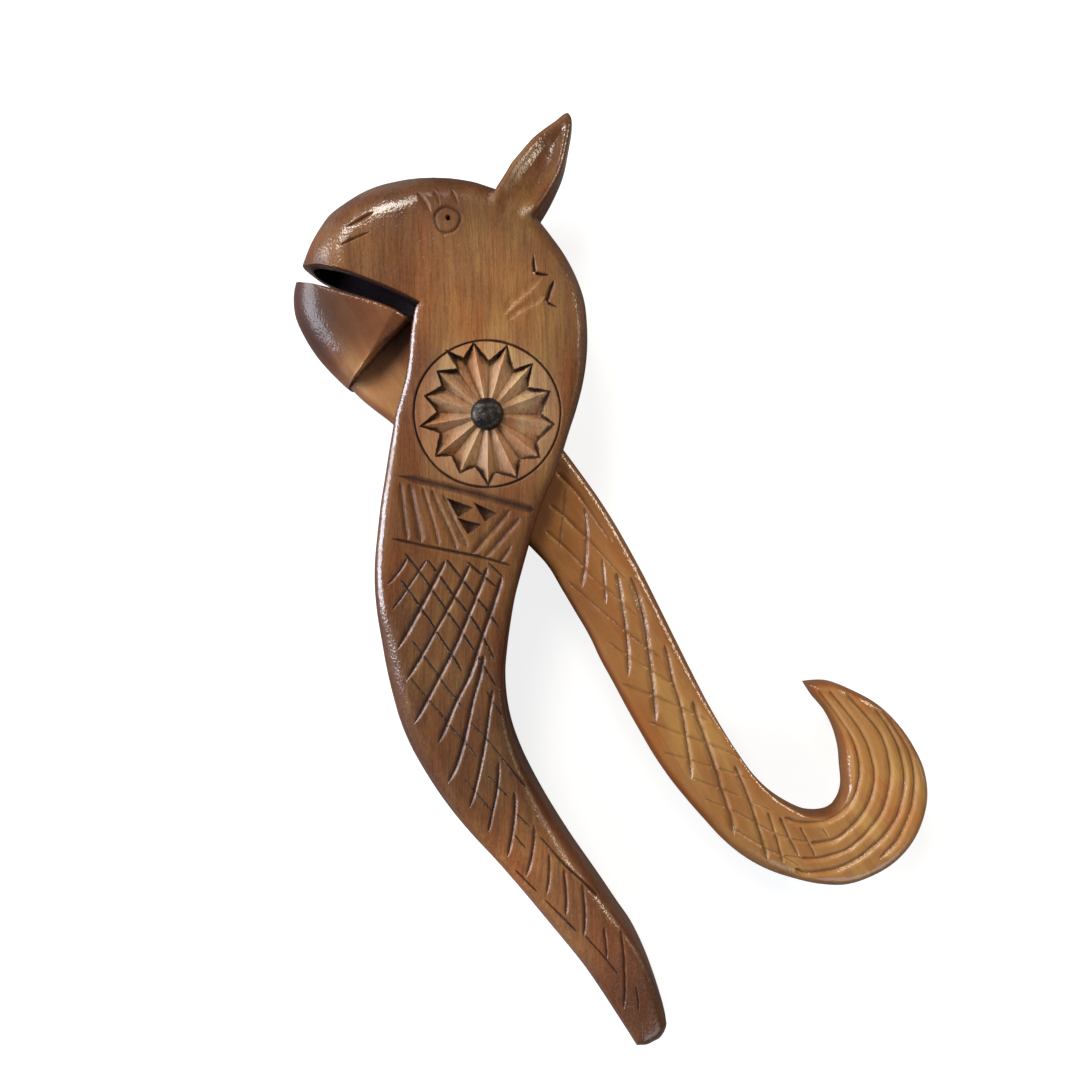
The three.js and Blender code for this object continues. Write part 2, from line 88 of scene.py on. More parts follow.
EAR_RUNS = [
    [
        (17.25, 66.1, 1.20, 0.95), (16.45, 65.9, 1.20, 0.95), (15.62, 65.28, 1.20, 0.95), (14.32, 64.03, 1.20, 0.95),
        (12.16, 62.27, 1.20, 0.95), (10, 60.35, 1.20, 0.95), (8.3, 58.39, 1.25, 0.95), (6.38, 55.8, 1.30, 0.95),
        (4.9, 53.8, 1.30, 0.95), (3.84, 51.74, 1.30, 0.95), (2.58, 49.46, 1.40, 0.95), (0.9, 46.6, 1.60, 0.95),
    ],
    [
        (0.9, 46.6, 3.40, 0.97), (3.5, 42.5, 3.40, 0.97), (9.5, 41, 3.40, 0.97),
    ],
    [
        (9.5, 41, 1.90, 0.95), (11.3, 43.6, 1.80, 0.95), (13.73, 47.8, 1.70, 0.95), (16.15, 53.35, 1.60, 0.95),
        (17.4, 59.3, 1.40, 0.95), (18.05, 63.3, 1.20, 0.95), (17.95, 65, 1.20, 0.95), (17.25, 66.1, 1.20, 0.95),
    ],
]
JAW_RUNS = [
    [
        (-41.75, 29, 8.00, 1.00), (-42.45, 25.9, 9.30, 1.00), (-42.05, 21.7, 9.80, 1.00), (-40.21, 17.5, 9.80, 1.00),
        (-37.87, 13.79, 9.80, 1.00), (-35.04, 10.45, 9.40, 1.00), (-31.91, 7.37, 10.00, 1.00), (-30.6, 6.3, 10.50, 1.00),
    ],
    [
        (-30.6, 6.3, 0.70, 0.85), (-28.4, 8.4, 0.70, 0.85), (-26.5, 10.3, 0.70, 0.85), (-24.44, 12.77, 0.70, 0.85),
        (-22.09, 15.43, 0.70, 0.85), (-19.71, 17.49, 0.70, 0.85), (-16.75, 20.75, 0.70, 0.85),
    ],
    [
        (-16.75, 20.75, 0.90, 0.90), (-19.17, 22.28, 0.90, 0.90), (-23.03, 23.9, 0.90, 0.90), (-26.86, 25.1, 0.90, 0.90),
        (-30.39, 26.13, 0.90, 0.90), (-33.07, 26.93, 0.90, 0.90), (-35.8, 27.6, 0.90, 0.90), (-39.1, 28.35, 0.90, 0.90),
        (-41.75, 29, 0.90, 0.90),
    ],
]
TAIL_RUNS = [
    [
        (-36, 15.5, 3.00, 1.00), (-34, 11.4, 3.00, 0.99), (-31.4, 7.9, 3.00, 0.99), (-28.34, 4.64, 3.00, 0.98),
        (-24.85, 1.77, 3.00, 0.98), (-21.4, -0.9, 3.00, 0.97), (-14.5, -7.2, 2.60, 0.96), (-6.5, -13.4, 2.40, 0.95),
        (1.5, -20.3, 2.20, 0.94), (8.87, -27.82, 2.00, 0.93), (12.8, -32.1, 2.02, 0.93), (15.86, -37.18, 2.04, 0.93),
        (18.88, -42.28, 2.06, 0.93), (21.88, -47.4, 2.08, 0.93), (24.42, -52.75, 2.10, 0.93), (27.27, -57.95, 2.23, 0.94),
        (30.06, -63.18, 2.35, 0.94), (32.98, -68.34, 2.48, 0.95), (35.96, -73.46, 2.60, 0.96), (39.3, -78.35, 2.87, 0.97),
        (43, -82.98, 3.13, 0.97), (46.9, -87.45, 3.40, 0.98), (50.91, -91.78, 3.40, 0.98), (55.48, -95.52, 3.40, 0.97),
        (60.63, -98.35, 3.40, 0.97), (66.17, -100.2, 3.00, 0.96), (71.86, -101.4, 2.60, 0.96), (77.63, -101.49, 2.30, 0.95),
        (83.06, -99.69, 2.00, 0.95), (87.92, -96.82, 1.98, 0.94), (91.78, -92.73, 1.97, 0.93), (94.28, -87.71, 1.95, 0.93),
        (95.39, -82.19, 1.93, 0.93), (94.71, -76.48, 1.92, 0.93), (92.37, -71.16, 1.90, 0.93), (89.05, -66.36, 1.98, 0.93),
        (84.83, -62.27, 2.05, 0.93), (79.68, -59.39, 2.12, 0.93), (74.21, -57.34, 2.20, 0.93), (69.15, -57.65, 1.80, 0.93),
    ],
    [
        (69.15, -57.65, 1.80, 0.90), (71.06, -60.73, 1.80, 0.84), (73.76, -63.97, 1.80, 0.78), (75.76, -67.73, 1.80, 0.78),
        (77.01, -72.07, 1.80, 0.78), (77.42, -76.34, 1.80, 0.78), (77.75, -80.2, 1.65, 0.78), (77.2, -82.9, 1.50, 0.78),
        (76, -84.9, 1.50, 0.78),
    ],
    [
        (76, -84.9, 1.50, 0.80), (74.4, -85.9, 1.40, 0.85), (71.4, -86.25, 1.30, 0.85), (68.2, -85.5, 1.30, 0.85),
        (62.78, -82.44, 1.20, 0.85), (58.15, -78.12, 1.00, 0.85), (54.36, -73.01, 0.90, 0.82), (50.93, -67.65, 1.00, 0.80),
        (47.76, -62.12, 1.40, 0.80), (44.84, -56.47, 1.90, 0.80), (41.89, -50.58, 2.20, 0.84), (39.06, -44.87, 2.40, 0.89),
        (36.24, -39.16, 2.40, 0.93), (33.37, -33.48, 2.38, 0.95), (30.33, -27.89, 2.37, 0.97), (27.15, -22.37, 2.35, 0.97),
        (23.7, -17.01, 2.33, 0.97), (20.01, -11.83, 2.32, 0.97), (16.22, -6.73, 2.30, 0.97), (11.3, -0.6, 2.35, 0.97),
        (6, 5.2, 2.40, 0.97), (-0.5, 10.8, 2.30, 0.97), (-8, 15.9, 2.20, 0.97), (-13.2, 19.8, 2.10, 0.97),
        (-16.3, 21.5, 2.00, 0.97),
    ],
    [
        (-16.3, 21.5, 0.50, 0.95), (-19.2, 21.5, 0.50, 0.95), (-24.5, 22.2, 1.00, 0.95), (-32.5, 21.5, 1.00, 0.95),
        (-36, 15.5, 2.00, 0.95),
    ],
]
MORTISE = [(-14.5, 23.1), (-25.0, 23.0), (-33.0, -12.0), (-23.2, -15.2), (-8.0, -24.2), (8.4, -35.2), (14.0, -36.0),
           (34.0, -10.0), (27.0, 3.6), (20.0, 6.4)]

# ---------------------------------------------------------------- carving: kind, width, depth, lead-in, lead-out, line
HEAD_CUTS = [
    ("nose", 0.95, 0.55, 3.2, 2.2, [(-29.84, 39.25), (-27.11, 40.72), (-23.75, 42.61)]),
    ("nose", 0.75, 0.45, 3, 2.6, [(-31.20, 35.37), (-27.95, 36.94), (-24.38, 38.41)]),
    ("brow", 1.9, 0.42, 2.8, 2.4, [(-14.94, 46.91), (-13.47, 45.12), (-11.79, 42.29)]),
    ("brow", 1.1, 0.24, 1.6, 1.5, [(-11.33, 47.33), (-10.53, 45.75), (-9.90, 43.97)]),
    ("brow", 1.2, 0.26, 1.6, 1.5, [(-7.49, 47.33), (-6.76, 45.75), (-6.02, 43.76)]),
    ("mark", 1, 0.6, 3, 0.35, [(9.78, 33.58), (9.80, 31.69), (10.03, 29.68)]),
    ("mark", 0.95, 0.55, 0.35, 2.4, [(10.03, 29.68), (11.29, 29.38), (13.28, 29.18)]),
    ("mark", 1.15, 0.65, 2.2, 0.35, [(14.12, 28.23), (13.18, 25.82), (12.51, 23.51)]),
    ("mark", 0.8, 0.4, 0.35, 2.4, [(12.51, 23.51), (13.60, 22.98), (15.07, 22.25)]),
    ("leaf", 2.4, 0.3, 3.5, 3, [(11.71, 28.97), (8.56, 26.66), (5.62, 23.93), (3.32, 20.78)]),
    ("leaf", 2.4, 0.32, 3.5, 3, [(12.34, 24.98), (8.98, 23.30), (6.46, 21.83), (4.15, 19.52)]),
    ("band", 2, 0.62, 7.0, 1, [(-19.24, -12.86), (-14.94, -13.76), (-9.90, -14.96), (-5.71, -15.94), (-1.51, -16.99), (4.15, -18.57), (10.03, -20.24)]),
    ("band", 0.85, 0.46, 3, 1.5, [(-20.30, -26.12), (-17.26, -26.75), (-13.69, -27.59), (-9.92, -28.32), (-6.77, -28.96), (-1.52, -30.01), (2.05, -30.95), (5.20, -31.90)]),
    ("lstroke", 1.62, 0.38, 1.8, 1.2, [(-18.30, -14.05), (-17.88, -18.04), (-17.35, -22.24), (-16.73, -26.64)]),
    ("lstroke", 1.95, 0.49, 1.8, 1.2, [(-16.41, -14.47), (-15.57, -18.25), (-14.63, -22.87), (-13.80, -27.06)]),
    ("lstroke", 1.43, 0.36, 1.8, 1.2, [(-13.68, -15.10), (-12.63, -18.46), (-11.27, -23.08), (-10.13, -27.69)]),
    ("lstroke", 1.62, 0.43, 1.8, 1.2, [(-11.79, -15.73), (-9.90, -20.14), (-8.02, -24.34), (-6.35, -28.53)]),
    ("lstroke", 1.5, 0.42, 1.8, 1.2, [(-9.3, -16.8), (-7.7, -20.8), (-5.9, -24.6), (-4.1, -28.0)]),
    ("rstroke", 1.76, 0.5, 1.6, 1.6, [(4.99, -19.93), (2.48, -22.87), (-0.46, -26.23), (-3.31, -29.48)]),
    ("rstroke", 1.76, 0.5, 1.8, 1.6, [(6.99, -21.61), (4.57, -24.34), (2.05, -27.27), (-0.58, -30.22)]),
    ("rstroke", 1.32, 0.4, 2, 1.2, [(5.20, -27.48), (3.73, -29.69), (2.36, -31.48)]),
    ("a", 0.96, 0.38, 1.4, 1.8, [(-16.65, -30.01), (-18.55, -32.95), (-20.99, -35.90)]),
    ("a", 0.9, 0.36, 1.4, 2.2, [(-12.66, -30.43), (-15.20, -34.21), (-17.74, -38.00), (-20.18, -41.38)]),
    ("a", 1.49, 0.6, 1.6, 3.5, [(-8.77, -30.64), (-10.15, -33.37), (-11.84, -36.53), (-14.60, -41.59), (-16.94, -45.82), (-19.17, -49.84)]),
    ("a", 1.32, 0.54, 1.6, 3.5, [(-3.63, -31.58), (-5.11, -34.63), (-6.80, -38.00), (-8.71, -41.59), (-10.62, -44.97), (-14.01, -50.89), (-17.31, -56.41)]),
    ("a", 1.44, 0.58, 1.8, 3.5, [(0.15, -31.90), (-1.33, -35.69), (-2.81, -39.48), (-4.50, -43.49), (-6.20, -47.51), (-8.53, -52.17), (-10.66, -56.20), (-13.22, -61.08), (-15.67, -65.55)]),
    ("a", 1.55, 0.62, 1.6, 3.5, [(3.09, -34.00), (2.04, -37.58), (0.77, -41.38), (-1.57, -48.14), (-3.90, -55.13), (-6.45, -60.23), (-8.37, -64.70), (-10.61, -69.81)]),
    ("a", 1.44, 0.56, 1.6, 3, [(-0.73, -50.47), (-1.58, -54.71), (-3.07, -60.23), (-5.00, -68.75), (-6.60, -74.08), (-8.52, -78.15)]),
    ("a", 1.26, 0.5, 1.6, 3, [(1.16, -57.89), (0.30, -62.78), (-0.34, -67.68), (-1.63, -74.72), (-2.70, -79.43), (-3.88, -83.50)]),
    ("a", 1.13, 0.45, 2, 2.5, [(2.40, -73.01), (2.18, -76.86), (1.75, -80.50), (0.89, -84.79), (0.04, -88.87)]),
    ("a", 1.26, 0.5, 1.6, 2.5, [(5.57, -79.64), (5.78, -82.21), (5.56, -85.86), (4.92, -90.15), (4.17, -94.03)]),
    ("a", 1.13, 0.45, 2, 2, [(9.81, -86.72), (9.81, -90.15), (9.17, -94.46), (8.10, -98.33)]),
    ("a", 1.01, 0.42, 2, 2, [(12.99, -92.73), (13.10, -95.53), (12.99, -98.76), (12.46, -102.22)]),
    ("a", 1.13, 0.45, 2, 1.6, [(16.08, -96.18), (16.51, -99.84), (16.72, -103.08), (16.62, -106.54)]),
    ("a", 1.2, 0.48, 2.4, 1.6, [(19.91, -99.41), (20.45, -103.08), (20.67, -106.97), (20.46, -111.08)]),
    ("a", 0.84, 0.32, 2, 2, [(24.61, -108.70), (25.16, -112.38), (25.38, -116.29)]),
    ("a", 0.96, 0.38, 2, 3, [(28.24, -109.57), (28.89, -113.90), (29.12, -118.24), (29.24, -122.59), (29.04, -127.16)]),
    ("a", 0.72, 0.26, 2, 2, [(31.48, -121.28), (32.03, -124.33), (32.25, -127.81)]),
    ("b", 0.9, 0.4, 1.6, 2.2, [(-17.59, -28.96), (-14.56, -32.74), (-11.63, -36.95), (-8.71, -41.17), (-5.77, -45.39), (-3.67, -48.57), (-1.99, -51.11), (-0.10, -54.29), (1.90, -57.68)]),
    ("b", 0.94, 0.41, 1.4, 2, [(-12.87, -30.43), (-10.15, -33.79), (-7.22, -38.00), (-4.50, -41.38), (-2.19, -44.55), (-0.09, -48.57), (1.69, -52.38)]),
    ("b", 0.94, 0.41, 1.4, 2, [(-8.67, -30.43), (-5.74, -34.21), (-2.59, -38.22), (0.13, -41.59), (2.76, -45.39)]),
    ("b", 0.83, 0.35, 1.4, 2, [(-4.47, -30.85), (-1.32, -33.58), (2.25, -36.63)]),
    ("b", 0.67, 0.28, 1.2, 1.4, [(-0.05, -31.06), (1.83, -32.74), (3.51, -34.42)]),
    ("b", 0.9, 0.4, 1.6, 2, [(-18.35, -34.63), (-16.06, -37.79), (-13.76, -41.17), (-11.46, -44.55), (-9.36, -47.93), (-7.27, -51.11), (-5.27, -54.50)]),
    ("b", 0.67, 0.25, 2, 2, [(-16.10, -47.30), (-13.59, -50.68), (-11.28, -53.86), (-8.77, -57.47), (-6.87, -59.81), (-5.08, -62.14)]),
    ("b", 0.64, 0.23, 2, 2, [(-16.56, -55.13), (-13.42, -59.17), (-10.05, -63.00), (-6.90, -67.04), (-4.58, -69.60), (-1.94, -72.80)]),
    ("b", 0.67, 0.25, 1.6, 2, [(-3.93, -64.70), (0.08, -68.96), (3.67, -73.44), (6.00, -76.43), (8.11, -79.22)]),
    ("b", 0.56, 0.2, 1.4, 1.4, [(-5.02, -77.08), (-2.07, -80.50), (1.11, -84.36)]),
    ("b", 0.56, 0.2, 1.4, 1.4, [(-0.36, -76.01), (1.97, -78.57), (4.51, -81.14)]),
    ("b", 0.54, 0.19, 1.2, 1.2, [(5.56, -84.14), (7.26, -85.75), (9.17, -87.58)]),
    ("b", 0.54, 0.19, 1.2, 1.2, [(5.56, -88.87), (6.83, -90.58), (8.32, -92.30)]),
    ("b", 0.64, 0.23, 1.6, 1.6, [(10.87, -89.29), (13.63, -92.52), (16.40, -95.75), (20.02, -99.20), (23.64, -102.86)]),
    ("b", 0.6, 0.21, 1.2, 1.4, [(5.55, -96.39), (8.10, -98.98), (10.65, -101.57)]),
    ("b", 0.64, 0.23, 1.4, 1.6, [(11.93, -102.86), (15.55, -106.54), (19.18, -110.22)]),
    ("b", 0.6, 0.21, 1.4, 1.6, [(20.46, -110.43), (22.17, -112.49), (23.88, -114.33), (25.81, -116.72), (27.95, -119.54)]),
    ("b", 0.54, 0.18, 1.2, 1.2, [(-0.32, -58.11), (1.36, -61.08), (3.05, -63.85)]),
]
TAIL_CUTS = [
    ("c", 1.32, 0.44, 1.4, 2, [(14.42, -11.57), (16.89, -13.94), (19.26, -16.53), (21.85, -20.19), (23.79, -22.99), (26.80, -27.08)]),
    ("c", 1.32, 0.44, 1.2, 3, [(13.02, -18.79), (16.03, -21.05), (18.94, -23.96), (22.06, -26.86), (25.62, -30.63), (27.66, -32.89), (30.25, -35.26)]),
    ("c", 1.29, 0.44, 1.2, 3, [(12.16, -24.28), (15.60, -27.29), (19.37, -30.85), (22.71, -34.62), (26.59, -37.85), (29.60, -40.65), (32.61, -43.23)]),
    ("c", 1.48, 0.48, 2.2, 1.8, [(17.11, -35.48), (20.34, -38.06), (23.89, -41.18), (27.77, -44.52), (30.89, -47.11), (34.88, -50.23), (37.57, -52.06)]),
    ("c", 1.09, 0.37, 2.4, 2, [(25.29, -48.18), (29.60, -50.98), (34.01, -53.89), (38.21, -56.47), (40.80, -58.30)]),
    ("c", 1.32, 0.44, 2.4, 2, [(28.52, -57.33), (33.05, -59.17), (35.85, -60.13), (39.08, -61.53), (42.09, -62.83), (48.12, -65.73)]),
    ("c", 1.32, 0.44, 2, 0.8, [(34.55, -65.63), (39.51, -67.56), (45.43, -69.72), (50.27, -71.55), (54.47, -73.49)]),
    ("c", 0.91, 0.3, 1.6, 2, [(37.57, -72.15), (42.63, -73.59), (47.37, -75.10), (52.86, -76.72), (56.52, -78.22)]),
    ("c", 1.02, 0.34, 1.6, 1.6, [(43.81, -77.79), (48.55, -79.52), (51.57, -80.59), (54.58, -81.88)]),
    ("c", 0.82, 0.28, 1.6, 1.8, [(56.30, -82.64), (58.89, -83.93), (61.69, -85.12)]),
    ("c", 1.02, 0.34, 1.6, 1.2, [(46.40, -82.21), (50.27, -83.72), (53.50, -85.22), (56.73, -86.95), (59.75, -88.67), (62.76, -90.18), (66.21, -91.25), (69.87, -91.79)]),
    ("c", 1.09, 0.37, 1.6, 1.4, [(52.64, -88.67), (56.95, -91.25), (60.07, -93.19), (63.30, -94.70), (67.93, -97.61)]),
    ("c", 0.82, 0.28, 0.8, 1.2, [(63.63, -94.59), (65.78, -94.91), (68.36, -95.34)]),
    ("d", 1.19, 0.26, 2, 2.4, [(16.46, -15.02), (16.25, -18.03), (16.03, -21.05), (15.60, -24.71), (15.17, -28.37)]),
    ("d", 1.47, 0.46, 1.8, 2.2, [(20.56, -19.33), (21.09, -23.42), (21.09, -27.29), (20.88, -31.17), (20.02, -36.98)]),
    ("d", 1.01, 0.37, 1.5, 1.8, [(24.43, -30.31), (24.75, -33.11), (24.97, -35.69), (25.29, -40.43)]),
    ("d", 1.61, 0.55, 1.5, 3, [(27.55, -33.32), (28.31, -37.20), (28.74, -40.43), (29.38, -44.09), (29.71, -47.32), (30.03, -51.20), (30.14, -56.15)]),
    ("d", 1.89, 0.64, 2.2, 3, [(30.57, -34.18), (32.18, -38.71), (33.26, -42.58), (33.91, -46.24), (34.66, -51.84), (35.09, -55.72), (35.52, -59.17), (36.06, -65.84)]),
    ("d", 1.61, 0.57, 2, 3.4, [(37.89, -48.83), (38.75, -52.27), (39.40, -55.72), (40.37, -59.17), (41.34, -62.18), (42.09, -65.84), (42.63, -69.50), (43.27, -73.81), (43.81, -78.12)]),
    ("d", 1.89, 0.66, 2, 2.4, [(43.92, -60.89), (45.11, -65.20), (46.40, -68.64), (47.69, -72.30), (48.98, -76.18), (49.95, -79.62), (51.14, -83.07), (52.21, -86.30), (52.97, -90.18)]),
    ("d", 1.47, 0.53, 1.6, 2, [(52.97, -74.89), (54.37, -78.12), (55.87, -81.78), (57.16, -85.44), (58.24, -88.88), (59.32, -92.33), (60.29, -95.77)]),
    ("d", 1.12, 0.42, 1.2, 1.4, [(60.18, -85.01), (61.04, -87.59), (61.90, -90.18), (62.76, -93.19), (63.73, -96.42)]),
    ("d", 1.12, 0.42, 1.2, 1.4, [(62.76, -86.08), (63.95, -88.67), (65.13, -91.25), (67.07, -95.13)]),
    ("d", 0.98, 0.37, 1.2, 1.2, [(67.18, -88.24), (68.36, -90.61), (69.66, -92.98), (70.73, -95.24)]),
    ("d", 0.63, 0.24, 0.8, 1, [(71.92, -88.45), (72.78, -89.75), (73.64, -91.04)]),
    ("g", 1.56, 0.65, 2.5, 2, [(71.16, -58.73), (74.50, -62.93), (77.41, -67.24), (78.92, -70.15), (79.67, -72.62), (80.21, -76.61), (79.56, -80.70), (78.48, -83.28), (76.65, -85.22), (74.61, -86.51), (72.35, -87.38), (67.50, -87.59), (63.63, -86.30)]),
    ("g", 1.56, 0.65, 2.5, 0.8, [(73.32, -58.84), (76.65, -62.61), (79.88, -66.92), (81.28, -69.39), (82.36, -72.09), (83.44, -77.47), (82.36, -82.85), (79.56, -87.38), (75.58, -90.93), (73.32, -91.68), (71.27, -92.01), (69.44, -92.01)]),
    ("g", 1.56, 0.65, 2.5, 1.2, [(76.98, -59.49), (80.64, -63.26), (84.19, -67.56), (85.48, -70.15), (86.34, -73.16), (86.78, -78.12), (85.27, -84.79), (81.71, -89.85), (79.56, -91.90), (77.19, -93.62), (71.81, -95.24), (67.29, -95.34)]),
    ("g", 1.74, 0.71, 2.5, 1.2, [(83.22, -62.72), (86.34, -66.92), (88.82, -72.09), (89.90, -78.55), (88.82, -84.79), (87.53, -87.59), (85.59, -90.39), (83.22, -92.76), (80.64, -94.91), (77.62, -96.64), (74.50, -97.82), (68.58, -98.47), (66.21, -97.28)]),
    ("g", 1.56, 0.62, 3, 3.5, [(84.94, -63.04), (87.31, -66.27), (89.36, -69.39), (90.76, -72.09), (91.62, -74.89), (92.05, -78.12), (91.84, -81.56), (91.19, -85.01), (88.82, -90.61), (86.88, -93.19), (84.08, -95.77)]),
]
STAR_TIPS = [
    (-2.90, 15.24), (4.28, 14.65), (9.72, 10.77), (13.41, 4.94), (14.37, -2.09),
    (11.27, -9.23), (6.42, -13.68), (0.21, -15.23), (-5.81, -12.52), (-11.04, -9.02),
    (-14.35, -2.62), (-13.37, 3.91), (-10.66, 9.09), (-8.92, 13.69),
]
STAR_NOTCHES = [
    (0.40, 11.36), (5.64, 9.49), (8.67, 5.71), (11.46, 0.09), (10.49, -5.91),
    (7.01, -9.52), (1.76, -12.33), (-2.52, -11.16), (-7.55, -8.83), (-10.07, -3.98),
    (-10.66, 0.49), (-9.70, 5.92), (-6.38, 9.60), (-5.04, 11.93),
]
PITS = [
    [(-8.55, -17.55), (-2.85, -19.60), (-6.15, -21.70)],
    [(-2.95, -18.45), (2.05, -20.80), (-0.46, -22.60)],
    [(-6.30, -21.75), (-1.15, -23.15), (-4.05, -25.25)],
]
HUB = (-0.04, 0.07)
EYE = (-8.35, 40.84)
PUPIL = (-8.23, 41.26)


# ================================================================ shapes
def spline(points, step):
    """A smooth run through the points, closely spaced. Columns after x and y go along linearly."""
    P = np.array(points, float)
    n, out = len(P), []
    for i in range(n - 1):
        p0, p1, p2, p3 = P[max(i - 1, 0)], P[i], P[i + 1], P[min(i + 2, n - 1)]
        m = max(1, int(math.ceil(np.linalg.norm((p2 - p1)[:2]) / step)))
        for j in range(m):
            t = j / m
            v0, v1 = (p2 - p0) / 2, (p3 - p1) / 2
            q = (2 * p1 - 2 * p2 + v0 + v1) * t ** 3 + (3 * p2 - 3 * p1 - 2 * v0 - v1) * t * t + v0 * t + p1
            q[2:] = p1[2:] + (p2[2:] - p1[2:]) * t
            out.append(q)
    out.append(P[-1])
    return np.array(out)


def loop_of(runs):
    return np.vstack([r[:-1] for r in runs])


def nearest(V, line):
    """Distance from each point to a polyline, and how far along it that is, in points."""
    A, B = line[:-1, :2], line[1:, :2]
    AB = B - A
    L2 = np.maximum((AB ** 2).sum(1), 1e-12)
    dist, place = np.empty(len(V)), np.empty(len(V))
    for s in range(0, len(V), 3000):
        q = V[s:s + 3000, None, :2] - A[None]
        t = np.clip((q * AB).sum(2) / L2, 0, 1)
        d2 = ((q - t[..., None] * AB) ** 2).sum(2)
        j = d2.argmin(1)
        k = np.arange(len(j))
        dist[s:s + 3000] = np.sqrt(d2[k, j])
        place[s:s + 3000] = j + t[k, j]
    return dist, place


def along(values, place):
    return np.interp(place, np.arange(len(values)), values)


def inside(V, loop):
    x, y = V[:, 0], V[:, 1]
    odd = np.zeros(len(V), bool)
    for i in range(len(loop)):
        x0, y0 = loop[i - 1, 0], loop[i - 1, 1]
        x1, y1 = loop[i, 0], loop[i, 1]
        if y0 == y1:
            continue
        odd ^= ((y0 > y) != (y1 > y)) & (x < (x1 - x0) * (y - y0) / (y1 - y0) + x0)
    return odd


WALL = 0.22       # the side between the two rounded edges leans in by this much


def edge(V, runs, half):
    """How high the surface stands over the middle plane, how full it is and how far in from the edge: 0 at the outline, 1 on the flat face.
    Each edge is rounded over its radius; roundness under 1 leaves a crisp arris where the rounding meets the face."""
    height, full, into = np.array(half, float) * np.ones(len(V)), np.ones(len(V)), np.ones(len(V))
    for run in runs:
        d, place = nearest(V, run)
        r, k = along(run[:, 2], place), along(run[:, 3], place)
        t = np.clip(d / r, 0, 1)
        F = np.sqrt(1 - (1 - k * t) ** 2) / np.sqrt(1 - (1 - k) ** 2)
        D = np.minimum(r / k * np.sqrt(1 - (1 - k) ** 2), np.maximum(half - 0.9, 0.35))
        g = np.sqrt(1 - (1 - np.clip(d / WALL, 0, 1)) ** 2)
        height = np.minimum(height, (half - D * (1 - F)) * g)
        full = np.minimum(full, F * g)
        into = np.minimum(into, t)
    return height, full, into


def smooth(t):
    t = np.clip(t, 0, 1)
    return t * t * (3 - 2 * t)


def wave(V, size, seed, stretch=1.0):
    """Slow unevenness of a hand-cut surface, about -1 to 1."""
    return np.array([noise.noise((v[0] / size, v[1] / (size * stretch), seed)) for v in V]) * 1.6


# ================================================================ cuts
# how much dirt and painted shade each kind of cut holds
DIRT_AND_SHADE = {"nose": 0.42, "brow": 0.06, "mark": 0.85, "leaf": 0.04, "band": 0.66, "lstroke": 0.42, "rstroke": 0.42, "a": 0.60, "b": 0.74,
         "c": 0.48, "d": 0.45, "g": 0.55, "ring": 0.80, "eye": 0.50}
# how strongly a highlight is painted on the wall of each kind of cut that faces the left
LEFT_WALL_HIGHLIGHT = {"brow": 0.50, "leaf": 0.20, "lstroke": 0.26, "rstroke": 0.26, "a": 0.50, "d": 0.42, "g": 0.22, "mark": 0.4, "band": 0.2}


MATT = {"nose": 0.9, "brow": 0.8, "mark": 1.0, "leaf": 1.0, "band": 1.0, "lstroke": 1.0, "rstroke": 1.0, "a": 0.80, "b": 0.9, "c": 0.9,
        "d": 0.6, "g": 0.8, "ring": 1.0, "eye": 1.0}


